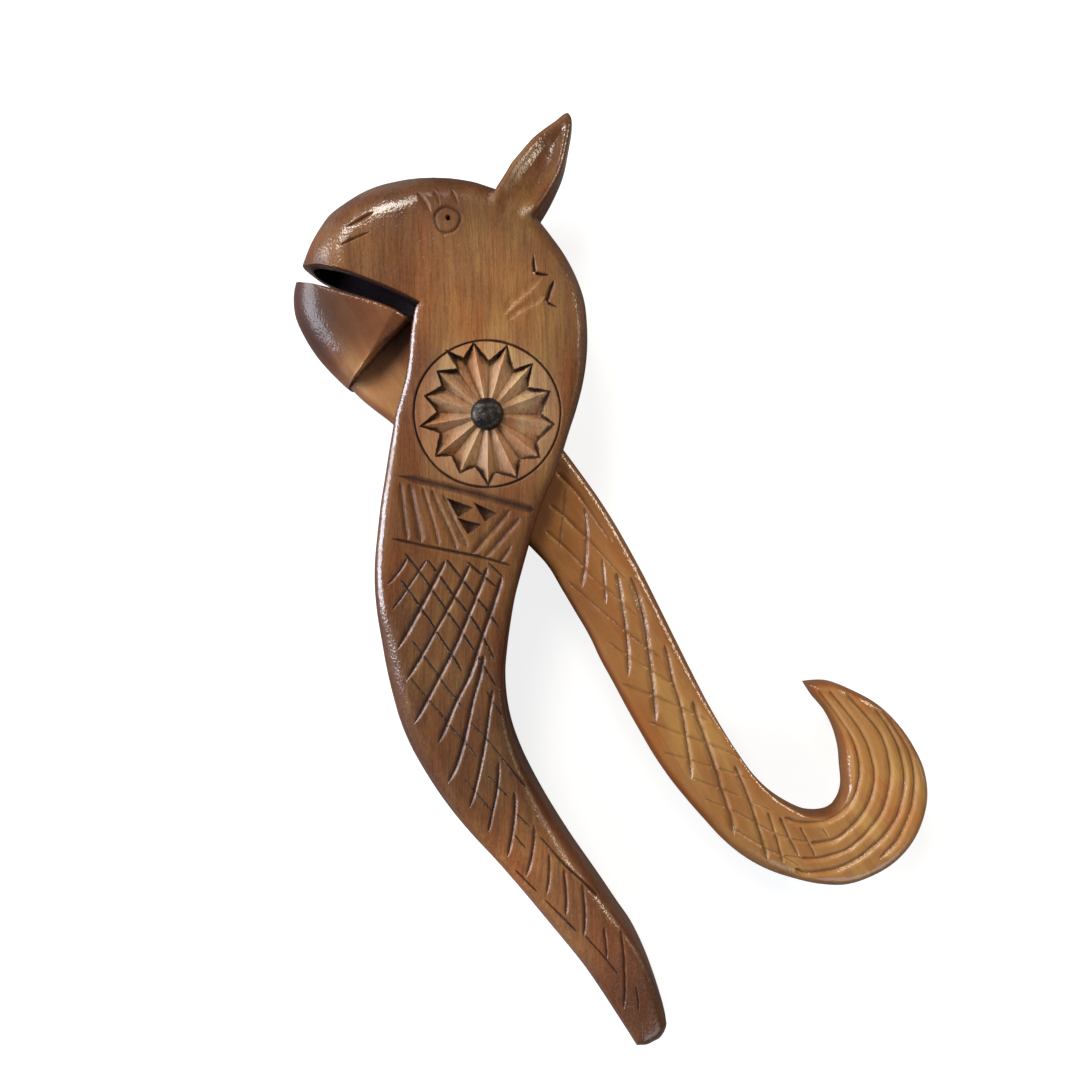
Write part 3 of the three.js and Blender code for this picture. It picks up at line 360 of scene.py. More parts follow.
class Groove:
    """A cut along a line, V-shaped, with its shoulders rounded by wear."""

    def __init__(self, kind, width, depth, lead_in, lead_out, points, closed=False):
        step = 0.5
        pts = [tuple(p) + (0.0,) for p in points]
        self.kind = kind
        self.line = spline(pts, step)[:, :2]
        seg = np.linalg.norm(np.diff(self.line, axis=0), axis=1)
        s = np.r_[0, np.cumsum(seg)]
        a = np.ones(len(s))
        if not closed:
            u = np.clip(s / max(lead_in, 1e-3), 0, 1)
            v = np.clip((s[-1] - s) / max(lead_out, 1e-3), 0, 1)
            a = (u * (2 - u)) * (v * (2 - v))
        # a hand-held tool: the cut is a little deeper here and there
        w = np.array([noise.noise((p[0] / 4.0, p[1] / 4.0, 7.7)) for p in self.line])
        a = a * (1 + 0.22 * w)
        self.half = np.maximum(width / 2 * a, 0.0)
        self.deep = depth * a
        self.closed = closed

    def lines(self):
        out = [self.line]
        t = np.gradient(self.line, axis=0)
        t /= np.linalg.norm(t, axis=1)[:, None] + 1e-9
        n = np.c_[-t[:, 1], t[:, 0]]
        keep = np.where(self.half > 0.07)[0]
        if len(keep) > 1:
            k = slice(keep[0], keep[-1] + 1)
            for f in (-1.65, -1.35, -1.0, -0.72, 0.72, 1.0, 1.35, 1.65):
                out.append(self.line[k] + n[k] * (self.half[k] * f)[:, None])
        return out

    def cut(self, V):
        """(depth, how dark with dirt and painted shade, how matt) at each point."""
        lo, hi = self.line.min(0) - 1.5, self.line.max(0) + 1.5
        near = np.where((V[:, 0] > lo[0]) & (V[:, 0] < hi[0]) & (V[:, 1] > lo[1]) & (V[:, 1] < hi[1]))[0]
        depth, mark, matt = np.zeros(len(V)), np.zeros(len(V)), np.zeros(len(V))
        if len(near):
            d, place = nearest(V[near], self.line)
            h = np.maximum(along(self.half, place), 1e-3)
            t = d / h
            p = np.where(t < 0.72, 1 - t, 0.28 * np.clip((1.35 - t) / 0.63, 0, 1) ** 2)
            depth[near] = along(self.deep, place) * p
            wide = 0.75 if self.kind in "cg" else 1.35
            mark[near] = np.clip(wide - t, 0, 1) * np.clip(h / 0.2, 0, 1) * DIRT_AND_SHADE[self.kind]
            matt[near] = np.clip((1.65 - t) / 0.3, 0, 1) * np.clip(h / 0.25, 0, 1) * MATT[self.kind]
        return depth, mark, matt

    def pale(self, V):
        """How strong the painted highlight is at each point on the wall that faces the left."""
        out = np.zeros(len(V))
        most = LEFT_WALL_HIGHLIGHT.get(self.kind, 0)
        lo, hi = self.line.min(0) - 1.5, self.line.max(0) + 1.5
        near = np.where((V[:, 0] > lo[0]) & (V[:, 0] < hi[0]) & (V[:, 1] > lo[1]) & (V[:, 1] < hi[1]))[0]
        if most and len(near):
            d, place = nearest(V[near], self.line)
            t = np.gradient(self.line, axis=0)
            t /= np.linalg.norm(t, axis=1)[:, None] + 1e-9
            n = np.c_[t[:, 1], -t[:, 0]]
            n *= np.where(n[:, :1] < 0, -1, 1)
            foot = np.c_[along(self.line[:, 0], place), along(self.line[:, 1], place)]
            m = np.c_[along(n[:, 0], place), along(n[:, 1], place)]
            side = ((V[near, :2] - foot) * m).sum(1) / np.maximum(along(self.half, place), 1e-3)
            steep = np.clip(np.abs(m[:, 0]) * 1.5 - 0.3, 0, 1)
            worn = np.clip(0.60 + 2.1 * np.array([noise.noise((p[0] / 1.7, p[1] / 1.7, 3.3)) for p in foot]), 0.15, 1.0)
            out[near] = most * worn * np.clip((side - 0.12) / 0.22, 0, 1) * np.clip((0.98 - side) / 0.22, 0, 1) * steep * np.clip(along(self.half, place) / 0.2, 0, 1)
        return out


class Pit:
    """A chip cut: a three-cornered hollow with sloping walls."""

    def __init__(self, corners, depth, slope):
        self.P = np.array(corners, float)
        self.depth, self.slope = depth, slope

    def lines(self):
        ring = np.vstack([self.P, self.P[:1]])
        c = self.P.mean(0)
        inner = c + (self.P - c) * 0.42
        out = [spline([tuple(a) + (0.0,), tuple(b) + (0.0,)], 0.6)[:, :2] for a, b in zip(ring[:-1], ring[1:])]
        out += [np.vstack([inner, inner[:1]])]
        for f in (0.93, 1.07):
            near = c + (self.P - c) * f
            near = np.vstack([near, near[:1]])
            out += [spline([tuple(a) + (0.0,), tuple(b) + (0.0,)], 0.6)[:, :2] for a, b in zip(near[:-1], near[1:])]
        out += [np.vstack([a, b]) for a, b in zip(self.P, inner)]
        return out

    def cut(self, V):
        depth, mark = np.zeros(len(V)), np.zeros(len(V))
        m = inside(V, self.P)
        if m.any():
            d, _ = nearest(V[m], np.vstack([self.P, self.P[:1]]))
            depth[m] = np.minimum(self.depth, self.slope * d)
            # dirt and painted shade: the hollow is darkened, most at its floor
            mark[m] = 0.80 + 0.20 * np.clip(depth[m] / self.depth, 0, 1)
        return depth, mark, m.astype(float)


class Star:
    """The sunk rosette: a ridge along each ray, a valley to each notch, and a steep wall round the edge."""

    def __init__(self, hub, tips, notches, hub_deep, tip_deep, notch_deep, slope):
        self.C = np.array(hub, float)
        self.T = np.array(tips, float)
        self.N = np.array(notches, float)
        n = len(tips)
        self.zig = np.array([q for i in range(n) for q in (self.T[i], self.N[i])])
        self.h0, self.ht, self.slope = hub_deep, tip_deep, slope
        self.hn = [notch_deep * (1 + 0.16 * math.sin(2.4 * i + 1.0)) for i in range(n)]

    def lines(self):
        n = len(self.T)
        out = []
        ring = np.vstack([self.zig, self.zig[:1]])
        for a, b in zip(ring[:-1], ring[1:]):
            out.append(spline([tuple(a) + (0.0,), tuple(b) + (0.0,)], 0.5)[:, :2])
        for a, b in zip(ring[:-1], ring[1:]):
            e = (b - a) / np.linalg.norm(b - a)
            m = np.array([-e[1], e[0]])
            for off, cutback in ((0.10, 0.05), (-0.12, 0.05), (0.40, 0.35), (-0.40, 0.35)):
                out.append(spline([tuple(a + e * cutback + m * off) + (0.0,), tuple(b - e * cutback + m * off) + (0.0,)], 0.6)[:, :2])
        for p in self.zig:
            d = (p - self.C) / np.linalg.norm(p - self.C)
            m = np.array([-d[1], d[0]])
            out.append(spline([tuple(self.C + d * 3.0) + (0.0,), tuple(p) + (0.0,)], 0.8)[:, :2])
            for off in (-0.28, 0.28):
                out.append(spline([tuple(self.C + d * 4.2 + m * off) + (0.0,), tuple(p - d * 0.8 + m * off) + (0.0,)], 0.8)[:, :2])
        for i in range(n):
            foot = self.hn[i] / self.slope
            tip = foot * 0.12
            N = self.N[i]
            pts = []
            for T, sign in ((self.T[i], 1), (self.T[(i + 1) % n], -1)):
                e = (N - T) / np.linalg.norm(N - T)
                m = np.array([-e[1], e[0]])
                if np.dot(self.C - N, m) < 0:
                    m = -m
                side = [T + (N - T) * u + m * (tip + (foot - tip) * u) for u in (0.15, 0.4, 0.7, 1.0)]
                pts.append((side, m))
            a, b = pts
            mid = (a[1] + b[1]) / np.linalg.norm(a[1] + b[1])
            arc = [N + (a[1] * .5 + mid * .5) / np.linalg.norm(a[1] * .5 + mid * .5) * foot, N + mid * foot,
                   N + (b[1] * .5 + mid * .5) / np.linalg.norm(b[1] * .5 + mid * .5) * foot]
            out.append(np.array(a[0] + arc + b[0][::-1]))
        return out

    def cut(self, V):
        depth, mark, matt = np.zeros(len(V)), np.zeros(len(V)), np.zeros(len(V))
        r = np.linalg.norm(V[:, :2] - self.C, axis=1)
        near = np.where(r < 17.5)[0]
        if not len(near):
            return depth, mark, matt
        W = V[near, :2]
        m = inside(W, self.zig)
        d, _ = nearest(W, np.vstack([self.zig, self.zig[:1]]))
        facet = np.zeros(len(W))
        n = len(self.T)
        for i in range(n):
            for A, B, ha, hb in ((self.T[i], self.N[i], self.ht, self.hn[i]),
                                 (self.N[i], self.T[(i + 1) % n], self.hn[i], self.ht)):
                M = np.array([A - self.C, B - self.C]).T
                w = np.linalg.solve(M, (W - self.C).T)
                ok = (w[0] >= -1e-6) & (w[1] >= -1e-6)
                # facets are a little hollow, as a straight chisel leaves them
                f = self.h0 + w[0] * (ha - self.h0) + w[1] * (hb - self.h0) + 0.10 * np.clip(4 * w[0] * w[1], 0, 1)
                facet = np.where(ok, f, facet)
        wall = self.slope * d
        depth[near] = np.where(m, np.minimum(facet, wall), 0)
        valley = np.full(len(W), 9.0)
        for p in self.N:
            valley = np.minimum(valley, nearest(W, np.array([self.C, p]))[0])
        # painted shade along the wall's foot, and dirt with painted shade in the valleys
        mark[near] = np.where(m, np.maximum(np.clip((0.62 - d) / 0.24, 0, 1), 0.36 * np.clip(1 - valley / 0.5, 0, 1)), 0)
        matt[near] = m
        return depth, mark, matt

    def worn(self, V):
        """The ridges are lightened, partly wear and partly painted highlight; the rest of the star and the little
        fields left standing outside it are lightened too.
        """
        out = np.zeros(len(V))
        r = np.linalg.norm(V[:, :2] - self.C, axis=1)
        near = np.where(r < 15.0)[0]
        W = V[near, :2]
        m = inside(W, self.zig)
        ridge = np.full(len(W), 9.0)
        for p in self.T:
            ridge = np.minimum(ridge, nearest(W, np.array([self.C, p]))[0])
        out[near] = np.where(m, 0.42 + 0.5 * np.clip(1 - ridge / 0.42, 0, 1), 0.55)
        return out


class Dimple:
    """A drilled hole with a rounded bottom."""

    def __init__(self, centre, radius, depth, dark=1.0):
        self.c, self.r, self.depth, self.dark = np.array(centre, float), radius, depth, dark

    def lines(self):
        a = np.linspace(0, 2 * math.pi, 17)
        return [np.c_[self.c[0] + self.r * f * np.cos(a), self.c[1] + self.r * f * np.sin(a)] for f in (0.5, 0.85, 1.1)]

    def cut(self, V):
        t = np.linalg.norm(V[:, :2] - self.c, axis=1) / self.r
        p = 1 - smooth((t - 0.45) / 0.6)
        # the hole is darkened: dirt and painted shade
        return self.depth * p, self.dark * p, p


class Facet:
    """A flat slice taken off next to an edge: it starts at the line and deepens away from it, to one side."""

    def __init__(self, line, far, slope, most):
        self.line, self.far, self.slope, self.most = np.array(line, float), np.array(far, float), slope, most

    def lines(self):
        return [spline([tuple(p) + (0.0,) for p in self.line], 0.7)[:, :2]]

    def cut(self, V):
        d, place = nearest(V, self.line)
        a, b = self.line[0], self.line[-1]
        side = (b[0] - a[0]) * (V[:, 1] - a[1]) - (b[1] - a[1]) * (V[:, 0] - a[0])
        want = (b[0] - a[0]) * (self.far[1] - a[1]) - (b[1] - a[1]) * (self.far[0] - a[0])
        u = np.clip(((V[:, :2] - a) @ (b - a)) / ((b - a) @ (b - a)), -0.2, 1.2)
        on = (side * want > 0) & (u > -0.15) & (u < 1.0)
        depth = np.where(on, np.minimum(self.slope * d, self.most), 0)
        return depth, np.zeros(len(V)), np.zeros(len(V))


def ring_groove(centre, radius, width, depth, kind="ring", wobble=0.0):
    pts = []
    for i in range(49):
        a = 2 * math.pi * i / 48
        r = radius + wobble * math.sin(3 * a + 0.7) + wobble * 0.6 * math.sin(5 * a)
        pts.append((centre[0] + r * math.cos(a), centre[1] + r * math.sin(a)))
    return Groove(kind, width, depth, 0, 0, pts, closed=True)


# ================================================================ carved bodies
def cdt(points, edges, loops, eps=2e-4):
    """Triangles with the given points and edges, where they lie inside one of the closed outlines."""
    res = delaunay_2d_cdt([Vector((float(p[0]), float(p[1]))) for p in points], edges, [], 0, eps, True)
    P = np.array([(v.x, v.y) for v in res[0]])
    F = np.array([tuple(f) for f in res[2]])
    centre = P[F].mean(1)
    keep = np.zeros(len(F), bool)
    for loop in loops:
        keep |= inside(centre, loop)
    F = F[keep]
    a, b, c = P[F[:, 0]], P[F[:, 1]], P[F[:, 2]]
    turned_over = (b[:, 0] - a[:, 0]) * (c[:, 1] - a[:, 1]) - (b[:, 1] - a[:, 1]) * (c[:, 0] - a[:, 0]) < 0
    F[turned_over] = F[turned_over][:, ::-1]
    return P, [tuple(int(i) for i in f) for f in F], res[3]


def outer_loop(loops):
    """The outline of one or more overlapping closed outlines, as one closed line of points."""
    pts, edges = [], []
    for L in loops:
        s = len(pts)
        pts += [tuple(p[:2]) for p in L]
        edges += [(s + i, s + (i + 1) % len(L)) for i in range(len(L))]
    P, faces, _ = cdt(pts, edges, loops)
    seen = {(f[i], f[(i + 1) % 3]) for f in faces for i in range(3)}
    nxt = {a: b for (a, b) in sorted(seen) if (b, a) not in seen}
    start = next(iter(nxt))
    out, v = [start], nxt[start]
    while v != start:
        out.append(v)
        v = nxt[v]
    assert len(out) == len(nxt), "the outline is in more than one piece"
    loop = P[out]
    # points closer than a hair are merged
    keep = [i for i in range(len(loop)) if np.linalg.norm(loop[i] - loop[i - 1]) > 0.02]
    return loop[keep]


def insets(loop, radius):
    """Inward normals, and how far the rings round the edge may move in before they would fold."""
    a, b = np.roll(loop, 1, 0), np.roll(loop, -1, 0)
    u = (loop - a) / np.linalg.norm(loop - a, axis=1)[:, None]
    v = (b - loop) / np.linalg.norm(b - loop, axis=1)[:, None]
    t = u + v
    t /= np.linalg.norm(t, axis=1)[:, None] + 1e-9
    n = np.c_[-t[:, 1], t[:, 0]]
    area = 0.5 * np.sum(loop[:, 0] * b[:, 1] - b[:, 0] * loop[:, 1])
    if area < 0:
        n = -n
    q = loop[None] - loop[:, None]
    dot = (q * n[:, None]).sum(2)
    dd = (q ** 2).sum(2)
    m = np.where(dot > 1e-6, dd / np.maximum(2 * dot, 1e-9), 1e9).min(1)
    lim = np.minimum(radius, 0.80 * m)
    step = np.linalg.norm(b - loop, axis=1) * 0.8
    for _ in range(3):
        for i in range(len(lim)):
            j = (i + 1) % len(lim)
            lim[i] = min(lim[i], lim[j] + step[i])
            lim[j] = min(lim[j], lim[i] + step[i])
        for i in range(len(lim) - 1, -1, -1):
            j = (i + 1) % len(lim)
            lim[i] = min(lim[i], lim[j] + step[i])
            lim[j] = min(lim[j], lim[i] + step[i])
    return n, lim


def face_mesh(loop, runs_near, rings, lines, grid, seed):
    """Triangles over the inside of the outline: rings round the edge, the given lines as edges, and points between."""
    pts = [tuple(p) for p in loop]
    n = len(loop)
    edges = [(i, (i + 1) % n) for i in range(n)]
    closed = np.vstack([loop, loop[:1]])
    normal, lim = insets(loop, runs_near)

    def add_line(L, gap):
        L = np.asarray(L, float)[:, :2]
        ok = inside(L, loop)
        if ok.any():
            d, _ = nearest(L, closed)
            ok &= d > gap
        prev = None
        for i, p in enumerate(L):
            if ok[i]:
                pts.append((p[0], p[1]))
                if prev is not None:
                    edges.append((prev, len(pts) - 1))
                prev = len(pts) - 1
            else:
                prev = None

    for t in rings:
        R = loop + normal * (np.minimum(-t, lim * 0.3) if t < 0 else lim * t)[:, None]
        add_line(np.vstack([R, R[:1]]), 0.012)
    for L in lines:
        add_line(L, 0.12)
    tree = kdtree.KDTree(len(pts))
    for i, p in enumerate(pts):
        tree.insert((p[0], p[1], 0), i)
    tree.balance()
    rng = np.random.default_rng(seed)
    lo, hi = loop.min(0), loop.max(0)
    G = []
    row = 0
    y = lo[1]
    while y < hi[1]:
        x = lo[0] + (grid / 2 if row % 2 else 0)
        while x < hi[0]:
            G.append((x + rng.uniform(-.15, .15) * grid, y + rng.uniform(-.15, .15) * grid))
            x += grid
        y += grid * 0.866
        row += 1
    G = np.array(G)
    G = G[inside(G, loop)]
    for p in G:
        if tree.find((p[0], p[1], 0))[2] > grid * 0.42:
            pts.append((p[0], p[1]))
    return pts, edges


def carve(name, loop, radius, back_radius, front_rings, back_rings, lines, grid, back_grid, top, bottom, mid, seed):
    """A closed body: one outline at mid height, with a carved front and a plain back."""
    n = len(loop)
    verts, faces = [], []
    fp, fe = face_mesh(loop, radius, front_rings, lines, grid, seed)
    P, F, orig = cdt(fp, fe, [loop])
    bp, be = face_mesh(loop, back_radius, back_rings, [], back_grid, seed + 1)
    Q, B, orig_b = cdt(bp, be, [loop])

    def rim(orig):
        at = {}
        for i, src in enumerate(orig):
            for s in src:
                if s < n:
                    at[s] = i
        assert len(at) == n and len(set(at.values())) == n, f"{name}: outline points were merged"
        return [at[i] for i in range(n)]

    fr, br = rim(orig), rim(orig_b)

    def check(F, r, what):
        seen = {(f[i], f[(i + 1) % 3]) for f in F for i in range(3)}
        border = {(a, b) for a, b in seen if (b, a) not in seen}
        want = {(r[i], r[(i + 1) % n]) for i in range(n)}
        other = {(b, a) for a, b in want}
        assert border == want or border == other, f"{name}: {what} border has {len(border ^ want)} other edges"

    check(F, fr, "front")
    check(B, br, "back")
    zf = top(P)
    zb = bottom(Q)
    zm = mid(loop)
    verts = [(p[0], p[1], z) for p, z in zip(P, zf)]
    for i in range(n):
        x, y = P[fr[i]]
        verts[fr[i]] = (x, y, zm[i])
    back_index = {}
    for i in range(n):
        back_index[br[i]] = fr[i]
    for i, (p, z) in enumerate(zip(Q, zb)):
        if i not in back_index:
            back_index[i] = len(verts)
            verts.append((p[0], p[1], z))
    V = np.array(verts)

    def ccw(f):
        a, b, c = V[list(f)]
        return (b[0] - a[0]) * (c[1] - a[1]) - (b[1] - a[1]) * (c[0] - a[0]) > 0

    for f in F:
        faces.append(f if ccw(f) else f[::-1])
    for f in B:
        g = tuple(back_index[i] for i in f)
        faces.append(g[::-1] if ccw(g) else g)
    return make(name, verts, faces)


def make(name, verts, faces):
    mesh = bpy.data.meshes.new(name)
    mesh.from_pydata([tuple(v) for v in verts], [], faces)
    mesh.validate()
    mesh.update()
    obj = bpy.data.objects.new(name, mesh)
    bpy.context.scene.collection.objects.link(obj)
    return obj


def open_edges(obj):
    bm = bmesh.new()
    bm.from_mesh(obj.data)
    bad = sum(1 for e in bm.edges if len(e.link_faces) != 2)
    vol = bm.calc_volume()
    bm.free()
    return bad, vol


def boolean(obj, other, operation):
    m = obj.modifiers.new("cut", "BOOLEAN")
    m.operation, m.object, m.solver = operation, other, "EXACT"
    bpy.context.view_layer.update()
    dg = bpy.context.evaluated_depsgraph_get()
    mesh = bpy.data.meshes.new_from_object(obj.evaluated_get(dg))
    obj.modifiers.remove(m)
    old = obj.data
    obj.data = mesh
    bpy.data.meshes.remove(old)
    bpy.data.objects.remove(other)
    return obj


def prism(name, polygon, z0, z1):
    bm = bmesh.new()
    low = [bm.verts.new((x, y, z0)) for x, y in polygon]
    face = bm.faces.new(low)
    out = bmesh.ops.extrude_face_region(bm, geom=[face])
    for v in out["geom"]:
        if isinstance(v, bmesh.types.BMVert):
            v.co.z = z1
    bmesh.ops.recalc_face_normals(bm, faces=bm.faces)
    bmesh.ops.triangulate(bm, faces=bm.faces)
    mesh = bpy.data.meshes.new(name)
    bm.to_mesh(mesh)
    bm.free()
    obj = bpy.data.objects.new(name, mesh)
    bpy.context.scene.collection.objects.link(obj)
    return obj


def turned(name, profile, sides=96, wobble=None):
    """A closed turned body about the rivet's axis: profile is (radius, z) from the axis, or a closed ring."""
    ring = profile[0][0] > 1e-6
    verts, faces, rows = [], [], []
    for r, z in profile:
        if r < 1e-6:
            rows.append([len(verts)])
            verts.append((0.0, 0.0, z))
        else:
            rows.append(list(range(len(verts), len(verts) + sides)))
            for j in range(sides):
                a = 2 * math.pi * j / sides
                verts.append((r * math.cos(a), r * math.sin(a), z))
    pairs = list(zip(rows[:-1], rows[1:])) + ([(rows[-1], rows[0])] if ring else [])
    for A, B in pairs:
        for j in range(sides):
            k = (j + 1) % sides
            if len(A) == 1:
                faces.append((A[0], B[k], B[j]))
            elif len(B) == 1:
                faces.append((A[j], A[k], B[0]))
            else:
                faces.append((A[j], A[k], B[k], B[j]))
    if wobble:
        verts = [wobble(*v) for v in verts]
    obj = make(name, verts, faces)
    bm = bmesh.new()
    bm.from_mesh(obj.data)
    bmesh.ops.recalc_face_normals(bm, faces=bm.faces)
    if bm.calc_volume(signed=True) < 0:
        bmesh.ops.reverse_faces(bm, faces=bm.faces)
    bm.to_mesh(obj.data)
    bm.free()
    return obj


class Hollow:
    """A scooped hollow: a rounded body somewhat squarer than an ellipsoid, turned in the plane."""

    def __init__(self, centre, size, turn, power):
        self.centre, self.size, self.a, self.p = np.array(centre), np.array(size), math.radians(turn), power

    def body(self, name):
        bm = bmesh.new()
        bmesh.ops.create_uvsphere(bm, u_segments=72, v_segments=40, radius=1.0)
        for v in bm.verts:
            q = np.array(v.co)
            q /= (np.abs(q) ** self.p).sum() ** (1 / self.p)
            x, y, z = q * self.size
            v.co = (x * math.cos(self.a) - y * math.sin(self.a) + self.centre[0],
                    x * math.sin(self.a) + y * math.cos(self.a) + self.centre[1], z + self.centre[2])
        mesh = bpy.data.meshes.new(name)
        bm.to_mesh(mesh)
        bm.free()
        obj = bpy.data.objects.new(name, mesh)
        bpy.context.scene.collection.objects.link(obj)
        return obj

    def reach(self, V):
        """1 on the hollow's surface, less inside it."""
        x, y, z = (V - self.centre).T
        c, s = math.cos(self.a), math.sin(self.a)
        q = np.array([x * c + y * s, -x * s + y * c, z]).T / self.size
        return (np.abs(q) ** self.p).sum(1) ** (1 / self.p)


def settle(obj, marks, sharp=34.0):
    """Writes the marks that the finish reads, softens the shading except at crisp edges, and moves the body to the row frame."""
    mesh = obj.data
    co = np.empty(len(mesh.vertices) * 3)
    mesh.vertices.foreach_get("co", co)
    co = co.reshape(-1, 3)
    for name, values in marks(co).items():
        at = mesh.attributes.get(name) or mesh.attributes.new(name, "FLOAT", "POINT")
        at.data.foreach_set("value", values.astype(np.float32))
    bm = bmesh.new()
    bm.from_mesh(mesh)
    limit = math.radians(sharp)
    for f in bm.faces:
        f.smooth = True
    for e in bm.edges:
        e.smooth = len(e.link_faces) == 2 and e.calc_face_angle(0.0) < limit
    bm.to_mesh(mesh)
    bm.free()
    co[:, 0] -= ORIGIN[0]
    co[:, 1] -= ORIGIN[1]
    co *= 0.001
    mesh.vertices.foreach_set("co", co.astype(np.float32).ravel())
    mesh.update()
    return obj


# ================================================================ head lever
def half_head(V):
    return np.interp(V[:, 1], TAPER, [END_T, HEAD_T]) / 2


def along_ear(V):
    return np.clip(((V[:, 0] - 6) * 0.488 + (V[:, 1] - 46) * 0.873) / 24, 0, 1)


def half_ear(V):
    return 2.6 + (1.4 - 2.6) * along_ear(V)


FINE = 0.75
head_runs = [spline(r, FINE) for r in HEAD_RUNS]
ear_runs = [spline(r, FINE) for r in EAR_RUNS]
head_loop, ear_loop = loop_of(head_runs), loop_of(ear_runs)
head_line = outer_loop([head_loop, ear_loop])


def radius_at(V, groups):
    """The edge radius of the outline nearest to each point."""
    best, out = np.full(len(V), 1e9), np.zeros(len(V))
    for run in groups:
        d, place = nearest(V, run)
        r = along(run[:, 2], place)
        out = np.where(d < best, r, out)
        best = np.minimum(best, d)
    return out


head_cuts = [Groove(*g) for g in HEAD_CUTS]
head_cuts.append(ring_groove((HUB[0], HUB[1]), 15.42, 0.62, 0.42, wobble=0.05))
head_cuts.append(ring_groove(EYE, 2.66, 0.95, 0.30, "eye", wobble=0.10))
head_cuts.append(Dimple(PUPIL, 0.62, 1.1))
head_cuts += [Pit(p, 1.0, 1.7) for p in PITS]
star = Star(HUB, STAR_TIPS, STAR_NOTCHES, 0.45, 0.12, 2.15, 3.6)
head_cuts.append(star)


def crisp_back(runs, which, r):
    """The same edges as the front's, but crisper at the back along one of them."""
    out = [run.copy() for run in runs]
    out[which][:, 2] = r
    return out


head_back_runs = crisp_back(head_runs, 1, 0.25)


def sway(V):
    return ((V[:, 0] - 6) * 0.488 + (V[:, 1] - 46) * 0.873) / 24


def ear_front(V):
    """The ear's front is level with the face at its root and falls away to the tip."""
    return 12.0 - 7.0 * np.clip(sway(V), 0, 1) ** 0.9


def head_fields(V, runs, front):
    """The head lever's surface over its middle plane without its cuts, and how full its edge is."""
    h = half_head(V)
    in_head, in_ear = inside(V, head_loop), inside(V, ear_loop)
    a, fh, th = edge(V, runs, h)
    e = ear_front(V) if front else half_ear(V)
    b, fe, te = edge(V, [ear_runs[0], ear_runs[2]], e)
    a, fh, th = np.where(in_head, a, -50.0), np.where(in_head, fh, 0), np.where(in_head, th, 0)
    b, fe, te = np.where(in_ear, b, -50.0), np.where(in_ear, fe, 0), np.where(in_ear, te, 0)
    r = np.minimum(2.4 * fh * fe, 1.8 * np.maximum(h - np.maximum(a, b), 0))
    joined = np.where(in_head & in_ear, 0.5 * (a + b + np.sqrt((a - b) ** 2 + r * r)), np.maximum(a, b))
    joined = np.minimum(joined, np.maximum(h, e))
    # the ear is hollowed between its rims, and the hollow runs out on the head's face
    d, _ = nearest(V, ear_runs[0])
    d2, _ = nearest(V, ear_runs[2])
    s = sway(V)
    hollow = 1.5 * smooth((np.minimum(d, d2) - 0.9) / 2.6) * smooth((s + 0.30) / 0.5) * smooth((1.0 - s) / 0.35)
    return joined, np.maximum(fh, fe), np.where(in_ear, hollow, 0.0), np.maximum(th, te)


def head_top(V):
    j, f, hollow, _ = head_fields(V, head_runs, True)
    z = MID_OF(V) + j
    z = z - hollow * smooth(f)
    # hand-cut unevenness, less near the edge
    z = z - (0.10 + 0.10 * wave(V, 9.0, 1.3, 1.5) + 0.035 * wave(V, 3.2, 4.1, 1.6)) * smooth(f * f)
    depth = np.zeros(len(V))
    for c in head_cuts:
        depth = np.maximum(depth, c.cut(V)[0])
    return np.maximum(z - depth * smooth(f * 1.6), MID_OF(V) + 0.02)


def MID_OF(V):
    return np.where(V[:, 1] > TAPER[1], MID, half_head(V))


def head_bottom(V):
    j, f, _, _ = head_fields(V, head_back_runs, False)
    return MID_OF(V) - j + (0.05 + 0.05 * wave(V, 11.0, 8.3, 1.6)) * smooth(f)


head_lines = []
for c in head_cuts:
    head_lines += c.lines()
RINGS = (-0.05, -0.22, 0.10, 0.20, 0.33, 0.50, 0.74, 1.0)
BACK_RINGS = (-0.06, -0.22, 0.2, 0.5, 1.0)
head = carve("carved_head_lever", head_line, radius_at(head_line, head_runs + [ear_runs[0], ear_runs[2]]),
             radius_at(head_line, head_back_runs + [ear_runs[0], ear_runs[2]]), RINGS, BACK_RINGS, head_lines, 1.15, 3.0, head_top, head_bottom, MID_OF, 11)


# the lip's back edge stands lower than its front edge
verts = np.array([v.co for v in head.data.vertices])
d, place = nearest(verts, head_runs[1])
u = place / (len(head_runs[1]) - 1)
down = np.clip((MID + 5 - verts[:, 2]) / (MID + 5), 0, 1) ** 0.8 * smooth(1 - d / 4.5) * smooth(u / 0.25) * smooth((1.08 - u) / 0.1)
verts[:, :2] += ((1.25 + 0.7 * smooth((u - 0.62) / 0.2)) * down)[:, None] * np.array((-0.353, -0.936))
head.data.vertices.foreach_set("co", verts.astype(np.float32).ravel())
head.data.update()

upper_hollow = Hollow((-27.2, 28.2, 11.6), (11.9, 4.2, 8.2), -20.6, 3.0)
head = boolean(head, prism("slot_cutter", MORTISE, MID - MORTISE_T / 2, MID + MORTISE_T / 2), "DIFFERENCE")
head = boolean(head, turned("hole_cutter", [(0, -2), (HOLE_D / 2, -2), (HOLE_D / 2, 28), (0, 28)], 64), "DIFFERENCE")
head = boolean(head, turned("bore_cutter", [(0, -2), (BORE_D / 2 + .5, -2), (BORE_D / 2 + .25, -0.0), (BORE_D / 2, 0.3), (BORE_D / 2, BORE_DEPTH), (0, BORE_DEPTH)], 64), "DIFFERENCE")
head = boolean(head, upper_hollow.body("upper_hollow"), "DIFFERENCE")


def fade(x, a, b):
    return smooth((np.asarray(x, float) - a) / (b - a))


